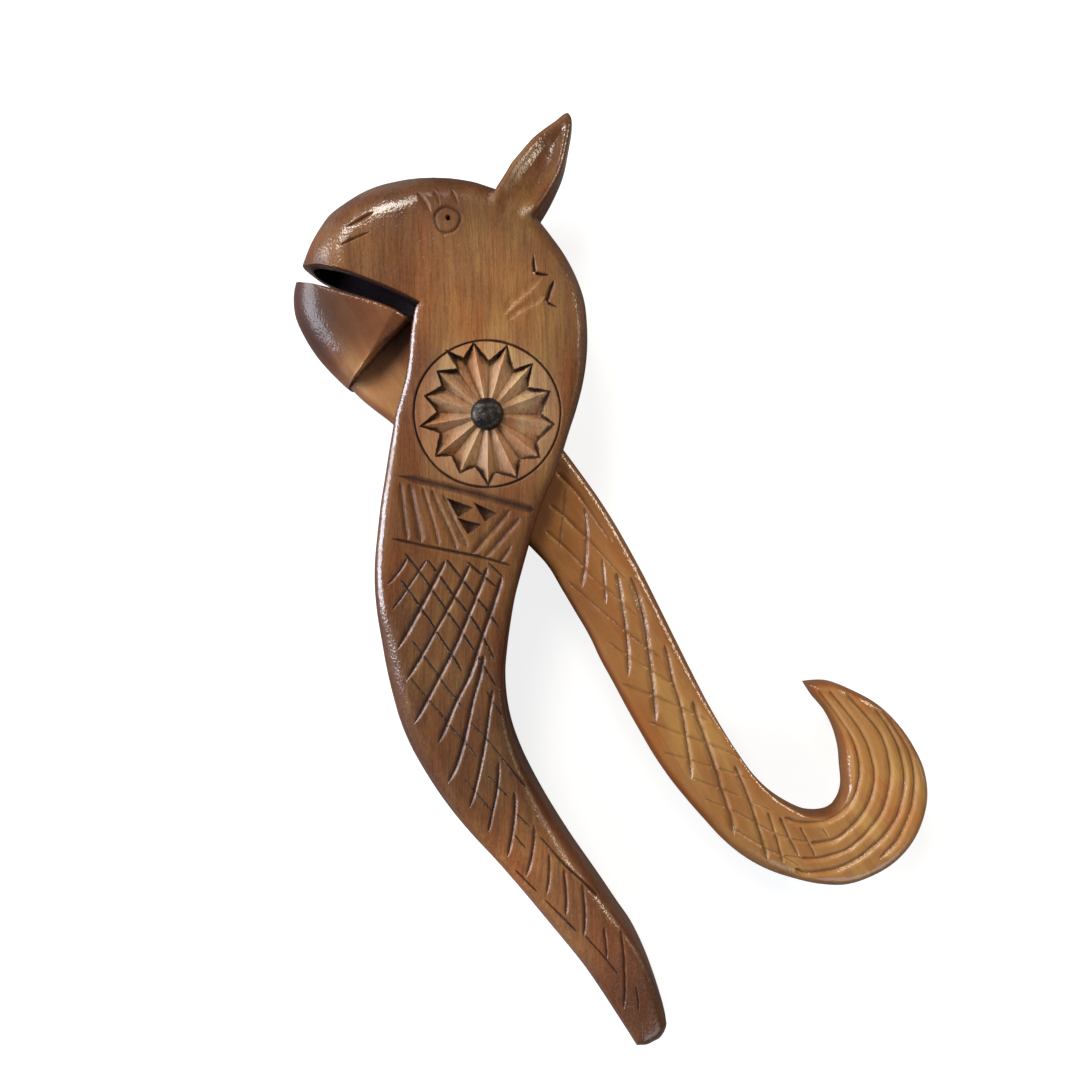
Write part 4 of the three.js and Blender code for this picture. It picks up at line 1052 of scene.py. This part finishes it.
def head_marks(V):
    _, f, _, t = head_fields(V, head_runs, True)
    front = V[:, 2] > half_head(V) + 0.5
    cut, matt, worn, pale = np.zeros(len(V)), np.zeros(len(V)), star.worn(V), np.zeros(len(V))
    # painted highlight along the ear's left rim
    d, _ = nearest(V, ear_runs[0])
    worn = np.maximum(worn, inside(V, ear_loop) * smooth(1 - np.abs(d - 0.9) / 0.8) * smooth((sway(V) + 0.1) / 0.2))
    for c in head_cuts:
        _, m, q = c.cut(V)
        cut, matt = np.maximum(cut, m), np.maximum(matt, q)
        if isinstance(c, Groove):
            pale = np.maximum(pale, c.pale(V))
    cut = cut * (1 - np.clip(pale * 1.3, 0, 1))
    # painted shade inside the slot
    in_mortise = inside(V, np.array(MORTISE)) & (np.abs(V[:, 2] - MID) < MORTISE_T / 2 + 0.02)
    inner = (in_mortise & (f > 0.6)) | (in_mortise & (np.abs(np.abs(V[:, 2] - MID) - MORTISE_T / 2) < 0.02))
    # painted shade: the underside of the beak is painted almost black; its rim is painted darker away from the tip and
    # stays brown towards the tip
    d, place = nearest(V, head_runs[1])
    u = place / (len(head_runs[1]) - 1)
    low = (V[:, 1] < np.interp(V[:, 0], head_runs[1][:, 0], head_runs[1][:, 1]) + 4.5) & (V[:, 0] > -41) & (V[:, 0] < -13.9) & (V[:, 1] > 19)
    scoop = low & (np.abs(upper_hollow.reach(V) - 1) < 0.02)
    lip = low & (d < 1.4) & (V[:, 2] < 23.3) & ~scoop
    dark = np.where(scoop, 1.25, np.where(lip, 0.30 + 0.55 * smooth((u - 0.10) / 0.55), 0))
    inner = np.maximum(inner, dark)
    # side: nearness to the outline, which the finish paints as shade
    return {"cut": np.where(front, cut, 0), "matt": np.where(front, matt, 0), "inner": inner.astype(float), "side": 1 - smooth(t * 1.15),
            "worn": np.where(front, worn, 0), "pale": np.where(front, pale, 0)}


# ================================================================ jaw lever
jaw_runs = [spline(r, FINE) for r in JAW_RUNS]
tail_runs = [spline(r, FINE) for r in TAIL_RUNS]
jaw_loop, tail_loop = loop_of(jaw_runs), loop_of(tail_runs)
jaw_line, tail_line = outer_loop([jaw_loop]), outer_loop([tail_loop])
tail_cuts = [Groove(*g) for g in TAIL_CUTS]
tail_cuts.append(Dimple((54.4, -68.7), 0.34, 0.5))
jaw_cuts = [Facet([(-19.41, 21.72), (-24.24, 13.52)], (-16.68, 20.88), 0.58, 1.8)]


def flat(V):
    return np.full(len(V), MID)


def plate_top(runs, half, cuts, seed, uneven):
    def top(V):
        h, f, _ = edge(V, runs, half(V) if callable(half) else half)
        z = MID + h
        z = z - uneven * (1.0 + wave(V, 8.0, seed, 1.3) + 0.4 * wave(V, 3.0, seed + 3, 1.3)) * smooth(f * f)
        depth = np.zeros(len(V))
        for c in cuts:
            depth = np.maximum(depth, c.cut(V)[0])
        return np.maximum(z - depth * smooth(f * 1.6), MID + 0.02)
    return top


def plate_bottom(runs, half, seed):
    def bottom(V):
        h, f, _ = edge(V, runs, half(V) if callable(half) else half)
        return MID - h + 0.05 * (1 + wave(V, 10.0, seed, 1.4)) * smooth(f)
    return bottom


def lines_of(cuts):
    return [line for c in cuts for line in c.lines()]


def half_tail(V):
    """The tail thins out towards its hook."""
    return TONGUE_T / 2 + (HOOK_T - TONGUE_T) / 2 * smooth((V[:, 0] - 42) / 36)


tail = carve("carved_jaw_lever", tail_line, radius_at(tail_line, tail_runs), radius_at(tail_line, tail_runs), RINGS, BACK_RINGS,
             lines_of(tail_cuts), 1.15, 3.0,
             plate_top(tail_runs, half_tail, tail_cuts, 21.0, 0.06), plate_bottom(tail_runs, half_tail, 23.0), flat, 31)
jaw = carve("jaw_block", jaw_line, radius_at(jaw_line, jaw_runs), radius_at(jaw_line, jaw_runs), RINGS, BACK_RINGS,
            lines_of(jaw_cuts), 0.9, 2.0,
            plate_top(jaw_runs, JAW_T / 2, jaw_cuts, 33.0, 0.05), plate_bottom(jaw_runs, JAW_T / 2, 35.0), flat, 41)
tail = boolean(tail, jaw, "UNION")
tail = boolean(tail, turned("hole_cutter", [(0, -2), (HOLE_D / 2, -2), (HOLE_D / 2, 28), (0, 28)], 64), "DIFFERENCE")
lower_hollow = Hollow((-28.9, 26.9, 12.0), (9.5, 3.4, 8.5), -17, 2.3)
tail = boolean(tail, lower_hollow.body("lower_hollow"), "DIFFERENCE")


def tail_marks(V):
    in_tail, in_jaw = inside(V, tail_loop), inside(V, jaw_loop)
    t = np.maximum(np.where(in_tail, edge(V, tail_runs[:3], TONGUE_T / 2)[2], 0), np.where(in_jaw, edge(V, jaw_runs, JAW_T / 2)[2], 0))
    cut, matt, pale = np.zeros(len(V)), np.zeros(len(V)), np.zeros(len(V))
    for c in tail_cuts:
        _, m, q = c.cut(V)
        cut, matt = np.maximum(cut, m), np.maximum(matt, q)
        if isinstance(c, Groove):
            pale = np.maximum(pale, c.pale(V))
    cut = cut * (1 - np.clip(pale * 1.3, 0, 1))
    front = (V[:, 2] > MID + 0.5) & (V[:, 2] < MID + TONGUE_T / 2 + 0.1)
    # painted shade: the tongue is darkened where it goes under the cheek and against the jaw's shoulder, and so are the
    # shoulder's wall and the jaw's hollow
    d, _ = nearest(V, jaw_runs[1])
    foot = np.where(front & ~in_jaw, 1 - fade(d, 0.2, 4.0), 0)
    d2, _ = nearest(V, head_line)
    under = inside(V, head_line) & (np.abs(V[:, 2] - MID) < TONGUE_T / 2 + 0.1)
    inner = np.where(under, fade(d2, 0.3, 2.5), 0)
    wall = np.where(in_jaw & (d < 0.05) & (V[:, 2] < MID + JAW_T / 2 - 0.9), 1.0, 0)
    scoop = in_jaw & (V[:, 1] > 19) & (np.abs(lower_hollow.reach(V) - 1) < 0.02)
    # painted shade on the tongue's end in the corner of the mouth
    corner = in_tail & ~in_jaw & (nearest(V, tail_runs[3])[0] < 0.6) & (V[:, 0] > -24)
    # side: nearness to the outline, which the finish paints as shade
    return {"cut": np.where(front, cut, 0), "matt": np.where(front, matt, 0),
            "inner": np.maximum.reduce([inner, 0.95 * wall, scoop * 0.9, 0.45 * foot, 1.2 * corner]), "side": 1 - smooth(t * 1.15),
            "worn": np.zeros(len(V)), "pale": np.where(front, pale, 0)}


# ================================================================ iron
def hammered(seed, amount, flat_below=None):
    def move(x, y, z):
        r = math.hypot(x, y)
        if flat_below is not None and z < flat_below:
            return x, y, z
        n = noise.noise((x * 0.75, y * 0.75, seed)) + 0.5 * noise.noise((x * 1.6, y * 1.6, seed + 5.0))
        m = noise.noise((x * 0.5, y * 0.5, z * 0.5 + seed + 11.0))
        s = 1 - amount * 0.045 * (1 + m) if r > 2.4 else 1.0
        return x * s, y * s, z - amount * 0.16 * (0.55 + n) * min(1.0, 1.0)
    return move


rivet = turned("hammered_rivet", [(0, 26.0), (0.6, 25.99), (1.2, 25.95), (1.75, 25.88), (2.25, 25.76), (2.65, 25.60), (2.98, 25.38),
                                  (3.24, 25.10), (3.42, 24.78), (3.5, 24.42), (3.46, 24.1), (3.3, 23.86), (3.05, 23.78), (2.25, 23.78),
                                  (2.25, 22.0), (2.25, 12.0), (2.25, 1.2), (2.6, 1.0), (3.35, 1.0), (3.6, 0.85), (3.68, 0.6), (3.55, 0.35), (3.2, 0.22), (0, 0.2)],
               72, hammered(3.0, 1.0, 24.2))
burr = turned("burr_washer", [(2.62, 1.45), (2.75, 1.32), (5.2, 1.32), (5.42, 1.5), (5.46, 1.9), (5.38, 2.35), (5.2, 2.48), (2.75, 2.48), (2.62, 2.35)], 72)


def plain(V):
    z = np.zeros(len(V))
    return {"cut": z, "matt": z, "inner": z, "side": z, "worn": z, "pale": z}


settle(head, head_marks)
settle(tail, tail_marks)
settle(rivet, plain, 40)
settle(burr, plain, 40)

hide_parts("head_lever")
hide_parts("jaw_lever")
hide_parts("pivot_rivet")
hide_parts("rivet_burr")
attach(head, "head")
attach(rivet, "head")
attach(burr, "head")
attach(tail, "jaw")


# ================================================================ finishes
class Nodes:
    """A short way of writing a node tree."""

    def __init__(self, name):
        self.mat = bpy.data.materials.new(name)
        self.mat.use_nodes = True
        self.tree = self.mat.node_tree
        self.tree.nodes.clear()
        self.out = self.tree.nodes.new("ShaderNodeOutputMaterial")
        self.bsdf = self.tree.nodes.new("ShaderNodeBsdfPrincipled")
        self.link(self.bsdf.outputs[0], self.out.inputs["Surface"])

    def link(self, a, b):
        self.tree.links.new(a, b)

    def put(self, socket, value):
        if isinstance(value, bpy.types.NodeSocket):
            self.link(value, socket)
        elif value is not None:
            socket.default_value = value

    def new(self, kind, **props):
        n = self.tree.nodes.new(kind)
        for k, v in props.items():
            setattr(n, k, v)
        return n

    def math(self, op, a, b=None, c=None, clamp=False):
        n = self.new("ShaderNodeMath", operation=op, use_clamp=clamp)
        for s, v in zip(n.inputs, (a, b, c)):
            self.put(s, v)
        return n.outputs[0]

    def mix(self, fac, a, b, mode="MIX"):
        n = self.new("ShaderNodeMix", data_type="RGBA", blend_type=mode, clamp_factor=True)
        self.put(n.inputs["Factor"], fac)
        self.put(n.inputs["A"], a if isinstance(a, bpy.types.NodeSocket) else (*a, 1.0))
        self.put(n.inputs["B"], b if isinstance(b, bpy.types.NodeSocket) else (*b, 1.0))
        return n.outputs["Result"] if "Result" in n.outputs else n.outputs[2]

    def remap(self, value, a, b, c=0.0, d=1.0, kind="SMOOTHSTEP"):
        n = self.new("ShaderNodeMapRange", interpolation_type=kind)
        for s, v in zip(n.inputs, (value, a, b, c, d)):
            self.put(s, v)
        return n.outputs[0]

    def scale(self, vector, size, offset=(0, 0, 0)):
        n = self.new("ShaderNodeMapping")
        self.put(n.inputs["Vector"], vector)
        n.inputs["Scale"].default_value = tuple(1.0 / s for s in size)
        n.inputs["Location"].default_value = offset
        return n.outputs[0]

    def noise(self, vector, detail=2.0, rough=0.5, distort=0.0, lac=2.0, scale=1.0):
        n = self.new("ShaderNodeTexNoise")
        self.put(n.inputs["Vector"], vector)
        n.inputs["Scale"].default_value = scale
        n.inputs["Detail"].default_value = detail
        n.inputs["Roughness"].default_value = rough
        n.inputs["Lacunarity"].default_value = lac
        n.inputs["Distortion"].default_value = distort
        return n.outputs["Fac"]

    def spot(self, where, cx, cy, size):
        """1 at the middle of a soft round place, 0 outside it."""
        v = self.new("ShaderNodeVectorMath", operation="SUBTRACT")
        self.link(where, v.inputs[0])
        v.inputs[1].default_value = (cx, cy, 0.02)
        w = self.new("ShaderNodeMapping")
        self.link(v.outputs[0], w.inputs["Vector"])
        w.inputs["Scale"].default_value = (1 / size[0], 1 / size[1], 0.0)
        length = self.new("ShaderNodeVectorMath", operation="LENGTH")
        self.link(w.outputs[0], length.inputs[0])
        return self.remap(length.outputs["Value"], 1.0, 0.25)

    def attribute(self, name):
        return self.new("ShaderNodeAttribute", attribute_name=name, attribute_type="GEOMETRY").outputs["Fac"]

    def bump(self, height, strength, distance, normal=None):
        n = self.new("ShaderNodeBump")
        n.inputs["Strength"].default_value = strength
        n.inputs["Distance"].default_value = distance
        self.put(n.inputs["Height"], height)
        if normal is not None:
            self.link(normal, n.inputs["Normal"])
        return n.outputs[0]


def wood(name, light, mid_tone, dark, cut_dark, painted_highlight_colour, angle, pore, contrast, figure, zones, gloss, shine):
    """Varnished hardwood: growth rings and fibres along one direction, pores, dirt and painted shade in the cuts,
    painted shade on the edges and in hidden places, painted highlights with some wear on ridges, rims and left-facing
    walls, and glossy high places.
    """
    N = Nodes(name)
    where = N.new("ShaderNodeTexCoord").outputs["Object"]
    turn = N.new("ShaderNodeMapping")
    N.link(where, turn.inputs["Vector"])
    turn.inputs["Scale"].default_value = (1000.0, 1000.0, 1000.0)
    turn.inputs["Rotation"].default_value = (0, 0, math.radians(angle))
    mm = turn.outputs[0]
    # the grain wanders
    drift = N.noise(N.scale(mm, (34.0, 95.0, 34.0)), 1.0, 0.5)
    drift = N.math("MULTIPLY", N.math("SUBTRACT", drift, 0.5), 16.0)
    small = N.noise(N.scale(mm, (7.0, 30.0, 7.0), (3.1, 1.7, 0.4)), 1.0, 0.5)
    drift = N.math("ADD", drift, N.math("MULTIPLY", N.math("SUBTRACT", small, 0.5), 1.8))
    sep = N.new("ShaderNodeSeparateXYZ")
    N.link(mm, sep.inputs[0])
    x = N.math("ADD", sep.outputs[0], drift)
    com = N.new("ShaderNodeCombineXYZ")
    N.link(x, com.inputs[0])
    N.link(sep.outputs[1], com.inputs[1])
    N.link(sep.outputs[2], com.inputs[2])
    grain = com.outputs[0]
    # growth rings: nested round a heart that lies below the back
    rad = N.math("SQRT", N.math("ADD", N.math("MULTIPLY", N.math("ADD", x, figure[0]), N.math("ADD", x, figure[0])),
                                N.math("MULTIPLY", N.math("ADD", sep.outputs[2], figure[1]), N.math("ADD", sep.outputs[2], figure[1]))))
    rc = N.new("ShaderNodeCombineXYZ")
    N.link(N.math("DIVIDE", rad, figure[2]), rc.inputs[0])
    N.link(N.math("DIVIDE", sep.outputs[1], 210.0), rc.inputs[1])
    rings = N.noise(rc.outputs[0], 2.0, 0.55)
    streak = N.noise(N.scale(grain, (1.9, 34.0, 1.9)), 3.0, 0.55)
    fibre = N.noise(N.scale(grain, (0.42, 11.0, 0.42)), 3.0, 0.65)
    hair = N.noise(N.scale(grain, (0.16, 4.2, 0.16)), 2.0, 0.6)
    blotch = N.noise(N.scale(mm, (19.0, 27.0, 19.0), (1.3, 7.7, 2.2)), 3.0, 0.55)
    pores = N.noise(N.scale(grain, (0.17, 2.6, 0.3), (9.0, 2.0, 4.0)), 1.0, 0.5)
    pores = N.remap(pores, 0.66, 0.76)
    pores = N.math("MULTIPLY", pores, N.remap(rings, 0.38, 0.62, 0.25, 1.0))
    # colour
    c = N.mix(N.remap(rings, 0.36, 0.66), light, mid_tone)
    c = N.mix(N.math("MULTIPLY", N.remap(streak, 0.44, 0.74), 0.46 * contrast), c, dark)
    c = N.mix(N.math("MULTIPLY", N.remap(fibre, 0.44, 0.68), 0.55 * contrast), c, dark)
    c = N.mix(N.math("MULTIPLY", N.remap(fibre, 0.50, 0.28), 0.60 * contrast), c, light)
    c = N.mix(N.math("MULTIPLY", N.remap(hair, 0.48, 0.70), 0.30 * contrast), c, dark)
    c = N.mix(N.math("MULTIPLY", N.remap(hair, 0.48, 0.28), 0.30 * contrast), c, light)
    c = N.mix(N.math("MULTIPLY", N.remap(blotch, 0.46, 0.70), 0.42), c, dark)
    # fine speckle, and the varnish's drift between red and golden
    grit = N.noise(N.scale(grain, (0.30, 0.95, 0.30), (6.0, 2.0, 1.0)), 1.0, 0.5)
    c = N.mix(N.math("MULTIPLY", N.remap(grit, 0.50, 0.70), 0.30 * contrast), c, dark)
    c = N.mix(N.math("MULTIPLY", N.remap(grit, 0.48, 0.30), 0.28 * contrast), c, light)
    tint = N.noise(N.scale(grain, (6.5, 24.0, 6.5), (2.0, 5.0, 3.0)), 2.0, 0.55)
    c = N.mix(N.remap(tint, 0.50, 0.66), c, N.mix(1.0, c, (0.96, 0.80, 0.72), "MULTIPLY"))
    c = N.mix(N.remap(tint, 0.48, 0.34), c, N.mix(1.0, c, (1.16, 1.34, 1.30), "MULTIPLY"))
    # the tone along the object; some zones are painted shade
    place = N.new("ShaderNodeSeparateXYZ")
    N.link(where, place.inputs[0])
    for axis, a, b, colour, amount in zones:
        if axis == "spot":
            k = N.spot(where, *a, b)
        else:
            k = N.remap(place.outputs[axis], a, b)
        c = N.mix(N.math("MULTIPLY", k, amount), c, colour, "MULTIPLY")
    cut, inner, side, matt, worn, pale = (N.attribute(k) for k in ("cut", "inner", "side", "matt", "worn", "pale"))
    # wear and painted highlight: ridges, rims and the rosette are lightened towards a bluish pale
    c = N.mix(N.math("MULTIPLY", worn, 0.8), c, N.mix(1.0, c, (1.55, 1.80, 2.20), "MULTIPLY"))
    c = N.mix(N.math("MULTIPLY", pores, pore), c, cut_dark)
    # painted shade: the rounded edges are darkened and reddened towards the outline
    c = N.mix(N.math("MULTIPLY", N.remap(side, 0.10, 0.95), 0.80), c, N.mix(1.0, c, (0.50, 0.36, 0.36), "MULTIPLY"))
    # dirt and painted shade in the cuts
    grime_and_shade = N.math("ADD", N.remap(cut, 0.12, 0.75, 0.0, 0.9), N.math("MULTIPLY", N.math("SUBTRACT", streak, 0.5), N.math("MULTIPLY", cut, 0.9)), clamp=True)
    c = N.mix(grime_and_shade, c, cut_dark)
    # painted highlight on the walls of the cuts that face the left
    c = N.mix(N.math("MULTIPLY", pale, N.remap(streak, 0.30, 0.62, 0.35, 0.80)), c, painted_highlight_colour)
    # painted shade: hidden and shaded places are painted almost black
    c = N.mix(N.math("MULTIPLY", inner, 0.80), c, (0.022, 0.013, 0.018))
    N.link(c, N.bsdf.inputs["Base Color"])
    # gloss
    dents = N.noise(N.scale(mm, (2.6, 3.4, 2.6), (4.0, 4.0, 4.0)), 2.0, 0.5)
    r = N.math("ADD", gloss[0], N.math("MULTIPLY", N.math("SUBTRACT", fibre, 0.5), 0.22))
    r = N.math("ADD", r, N.math("MULTIPLY", N.math("SUBTRACT", blotch, 0.5), 0.25))
    r = N.math("ADD", r, N.math("MULTIPLY", N.math("MAXIMUM", matt, inner), 0.22))
    N.link(N.math("MINIMUM", N.math("MAXIMUM", r, 0.14), 0.9), N.bsdf.inputs["Roughness"])
    N.bsdf.inputs["Specular IOR Level"].default_value = 0.12
    bare = N.math("MAXIMUM", N.math("MAXIMUM", matt, inner), N.math("MULTIPLY", N.remap(side, 0.75, 1.0), 0.8))
    coated = N.math("SUBTRACT", 1.0, N.math("MULTIPLY", bare, 0.88), clamp=True)
    # the varnish is worn thin except in a few polished places
    coated = N.math("MULTIPLY", coated, N.remap(N.math("ADD", blotch, N.math("MULTIPLY", N.math("SUBTRACT", dents, 0.5), 0.6)), 0.34, 0.56, 0.62, 1.0))
    for (cx, cy), size, low in shine:
        k = N.spot(where, cx, cy, size)
        coated = N.math("MULTIPLY", coated, N.remap(k, 0.0, 1.0, 1.0, low))
    N.link(N.math("MULTIPLY", coated, gloss[1]), N.bsdf.inputs["Coat Weight"])
    N.bsdf.inputs["Coat Roughness"].default_value = gloss[2]
    N.bsdf.inputs["Coat IOR"].default_value = 1.62
    # relief: raised fibres, open pores, small tool and handling marks
    h = N.math("ADD", N.math("MULTIPLY", fibre, 0.026), N.math("MULTIPLY", hair, 0.006))
    h = N.math("ADD", h, N.math("MULTIPLY", streak, 0.05))
    h = N.math("ADD", h, N.math("MULTIPLY", dents, 0.10))
    h = N.math("SUBTRACT", h, N.math("MULTIPLY", pores, 0.05 * pore))
    b = N.bump(h, 0.85, 0.001)
    N.link(b, N.bsdf.inputs["Normal"])
    sand = N.noise(N.scale(mm, (0.50, 0.62, 0.50), (2.0, 8.0, 5.0)), 1.0, 0.5)
    film = N.math("ADD", N.math("MULTIPLY", dents, 0.055), N.math("MULTIPLY", sand, 0.098))
    coat = N.bump(N.math("ADD", film, N.math("MULTIPLY", streak, 0.028)), 0.8, 0.001)
    N.link(coat, N.bsdf.inputs["Coat Normal"])
    return N.mat


def iron(name, base, rust, rough):
    """Blackened iron, hammered, with its high places brightened by use."""
    N = Nodes(name)
    where = N.new("ShaderNodeTexCoord").outputs["Object"]
    m = N.new("ShaderNodeMapping")
    N.link(where, m.inputs["Vector"])
    m.inputs["Scale"].default_value = (1000.0, 1000.0, 1000.0)
    mm = m.outputs[0]
    big = N.noise(N.scale(mm, (1.6, 1.6, 1.6)), 3.0, 0.6)
    fine = N.noise(N.scale(mm, (0.32, 0.32, 0.32)), 3.0, 0.6)
    pits = N.noise(N.scale(mm, (0.5, 0.5, 0.5), (5, 5, 5)), 1.0, 0.5)
    c = N.mix(N.remap(big, 0.40, 0.62), base, tuple(v * 2.4 for v in base))
    c = N.mix(N.math("MULTIPLY", N.remap(fine, 0.55, 0.75), 0.5), c, rust)
    c = N.mix(N.math("MULTIPLY", N.remap(pits, 0.60, 0.72), 0.6), c, tuple(v * 0.4 for v in base))
    N.link(c, N.bsdf.inputs["Base Color"])
    N.bsdf.inputs["Metallic"].default_value = 0.72
    r = N.math("ADD", rough, N.math("MULTIPLY", N.math("SUBTRACT", fine, 0.5), 0.35))
    N.link(r, N.bsdf.inputs["Roughness"])
    h = N.math("ADD", N.math("MULTIPLY", big, 0.25), N.math("MULTIPLY", fine, 0.07))
    h = N.math("SUBTRACT", h, N.math("MULTIPLY", N.remap(pits, 0.58, 0.74), 0.06))
    N.link(N.bump(h, 0.8, 0.001), N.bsdf.inputs["Normal"])
    return N.mat


def dress(obj, mat):
    obj.data.materials.clear()
    obj.data.materials.append(mat)


# painted shade: the head's zone along x darkens the lever towards its right side
head_finish = wood("varnished_head_wood", (0.184, 0.079, 0.0255), (0.128, 0.048, 0.0150), (0.054, 0.018, 0.0078), (0.022, 0.009, 0.007),
                   (0.36, 0.225, 0.17), 0.0, 0.45, 0.78, (14.0, 46.0, 3.4),
                   [(1, 0.016, -0.028, (0.80, 0.80, 0.90), 1.0), (1, -0.042, -0.066, (2.30, 2.35, 2.20), 1.0),
                    (1, -0.076, -0.092, (0.62, 0.60, 0.64), 1.0), (0, -0.016, -0.004, (0.74, 0.74, 0.84), 1.0),
                    ("spot", (-0.036, 0.086), (0.040, 0.016), (0.74, 0.68, 0.78), 1.0),
                    ("spot", (-0.0264, 0.0348), (0.021, 0.021), (1.72, 2.15, 3.05), 1.0),
                    ("spot", (-0.027, 0.059), (0.019, 0.019), (1.42, 1.42, 1.28), 1.0)],
                   (0.45, 0.9, 0.17),
                   [((-0.066, 0.066), (0.011, 0.016), 0.25), ((-0.029, 0.0815), (0.022, 0.012), 0.08), ((-0.010, 0.076), (0.014, 0.016), 0.3),
                    ((-0.050, 0.069), (0.013, 0.0065), 0.3)])
# painted shade with a painted bluish reflection: the first spot darkens the jaw's rounded left side
tail_finish = wood("varnished_tail_wood", (0.302, 0.138, 0.042), (0.248, 0.104, 0.030), (0.166, 0.061, 0.0185), (0.052, 0.021, 0.0105),
                   (0.45, 0.29, 0.21), -32.0, 0.30, 0.36, (30.0, 60.0, 5.0),
                   [(0, 0.008, -0.012, (0.88, 0.78, 0.78), 1.0), (0, 0.036, 0.058, (1.20, 1.28, 1.30), 1.0),
                    ("spot", (-0.067, 0.056), (0.018, 0.025), (0.29, 0.34, 0.78), 1.0),
                    ("spot", (-0.052, 0.056), (0.016, 0.013), (0.62, 0.56, 0.66), 1.0), ("spot", (-0.050, 0.043), (0.011, 0.010), (1.45, 1.7, 2.2), 1.0)], (0.42, 1.0, 0.16), [((-0.066, 0.056), (0.018, 0.022), 0.22)])
rivet_finish = iron("hammered_rivet_iron", (0.018, 0.015, 0.013), (0.05, 0.026, 0.016), 0.40)
burr_finish = iron("burr_washer_iron", (0.055, 0.048, 0.044), (0.09, 0.045, 0.025), 0.50)
dress(head, head_finish)
dress(tail, tail_finish)
dress(rivet, rivet_finish)
dress(burr, burr_finish)
for node, mat in (("head_lever", head_finish), ("jaw_lever", tail_finish), ("pivot_rivet", rivet_finish), ("rivet_burr", burr_finish)):
    dress(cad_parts[node], mat)

# ================================================================ floor, light and camera
floor = make("studio_floor", [(-3, -3, -0.0003), (3, -3, -0.0003), (3, 3, -0.0003), (-3, 3, -0.0003)], [(0, 1, 2, 3)])
fm = Nodes("studio_floor_white")
fm.bsdf.inputs["Base Color"].default_value = (0.34, 0.34, 0.34, 1)
fm.bsdf.inputs["Roughness"].default_value = 0.9
fm.bsdf.inputs["Specular IOR Level"].default_value = 0.1
fm.bsdf.inputs["Emission Color"].default_value = (1, 1, 1, 1)
fm.bsdf.inputs["Emission Strength"].default_value = 0.80
# the floor is seen white, but throws little light back up under the object
dim = fm.new("ShaderNodeBsdfDiffuse")
dim.inputs["Color"].default_value = (0.30, 0.28, 0.26, 1)
seen = fm.new("ShaderNodeLightPath")
pick = fm.new("ShaderNodeMixShader")
fm.link(seen.outputs["Is Camera Ray"], pick.inputs[0])
fm.link(dim.outputs[0], pick.inputs[1])
fm.link(fm.bsdf.outputs[0], pick.inputs[2])
fm.link(pick.outputs[0], fm.out.inputs["Surface"])
dress(floor, fm.mat)

target = Vector((-0.0153, 0.0083, 0.012))


def lamp(name, direction, distance, size, power, colour):
    light = bpy.data.lights.new(name, "AREA")
    light.shape = "RECTANGLE"
    light.size, light.size_y = size
    light.energy = power
    light.color = colour
    obj = bpy.data.objects.new(name, light)
    d = Vector(direction).normalized()
    obj.location = target + d * distance
    obj.rotation_euler = d.to_track_quat("Z", "Y").to_euler()
    bpy.context.scene.collection.objects.link(obj)
    return obj


def toward(azimuth, elevation):
    a, e = math.radians(azimuth), math.radians(elevation)
    return (math.cos(a) * math.cos(e), math.sin(a) * math.cos(e), math.sin(e))


lamp("window_above", toward(116, 47), 1.1, (0.48, 0.32), 8.8, (1.0, 0.95, 0.86))
lamp("window_left", toward(174, 19), 1.1, (0.88, 0.64), 27.5, (0.84, 0.90, 1.0))
lamp("room_right", toward(28, 28), 1.1, (0.44, 0.24), 5.0, (1.0, 0.86, 0.64))
lamp("room_low_right", toward(5, 18), 1.1, (0.45, 0.30), 0.8, (1.0, 0.80, 0.58))
lamp("sky_below", toward(296, 34), 1.1, (0.80, 0.60), 3.0, (0.84, 0.92, 1.0))

world = bpy.data.worlds.new("studio")
bpy.context.scene.world = world
world.use_nodes = True
wt = world.node_tree
ambient = wt.nodes["Background"]
ambient.inputs["Color"].default_value = (0.92, 0.96, 1.0, 1)
ambient.inputs["Strength"].default_value = 0.09
backdrop = wt.nodes.new("ShaderNodeBackground")
backdrop.inputs["Color"].default_value = (0.93, 0.94, 0.95, 1)
backdrop.inputs["Strength"].default_value = 0.95
seen_as = wt.nodes.new("ShaderNodeLightPath")
which = wt.nodes.new("ShaderNodeMixShader")
wt.links.new(seen_as.outputs["Is Camera Ray"], which.inputs[0])
wt.links.new(ambient.outputs[0], which.inputs[1])
wt.links.new(backdrop.outputs[0], which.inputs[2])
wt.links.new(which.outputs[0], wt.nodes["World Output"].inputs["Surface"])

cam = bpy.data.cameras.new("camera")
cam.sensor_width = 36.0
cam.lens = 36.0 * 1181.8 / 1081.0
cam.clip_start, cam.clip_end = 0.01, 20.0
camera = bpy.data.objects.new("camera", cam)
camera.location = (-0.01532, 0.00826, 0.272)
bpy.context.scene.collection.objects.link(camera)
bpy.context.scene.camera = camera
bpy.context.scene.view_settings.view_transform = "Standard"
bpy.context.scene.view_settings.look = "None"
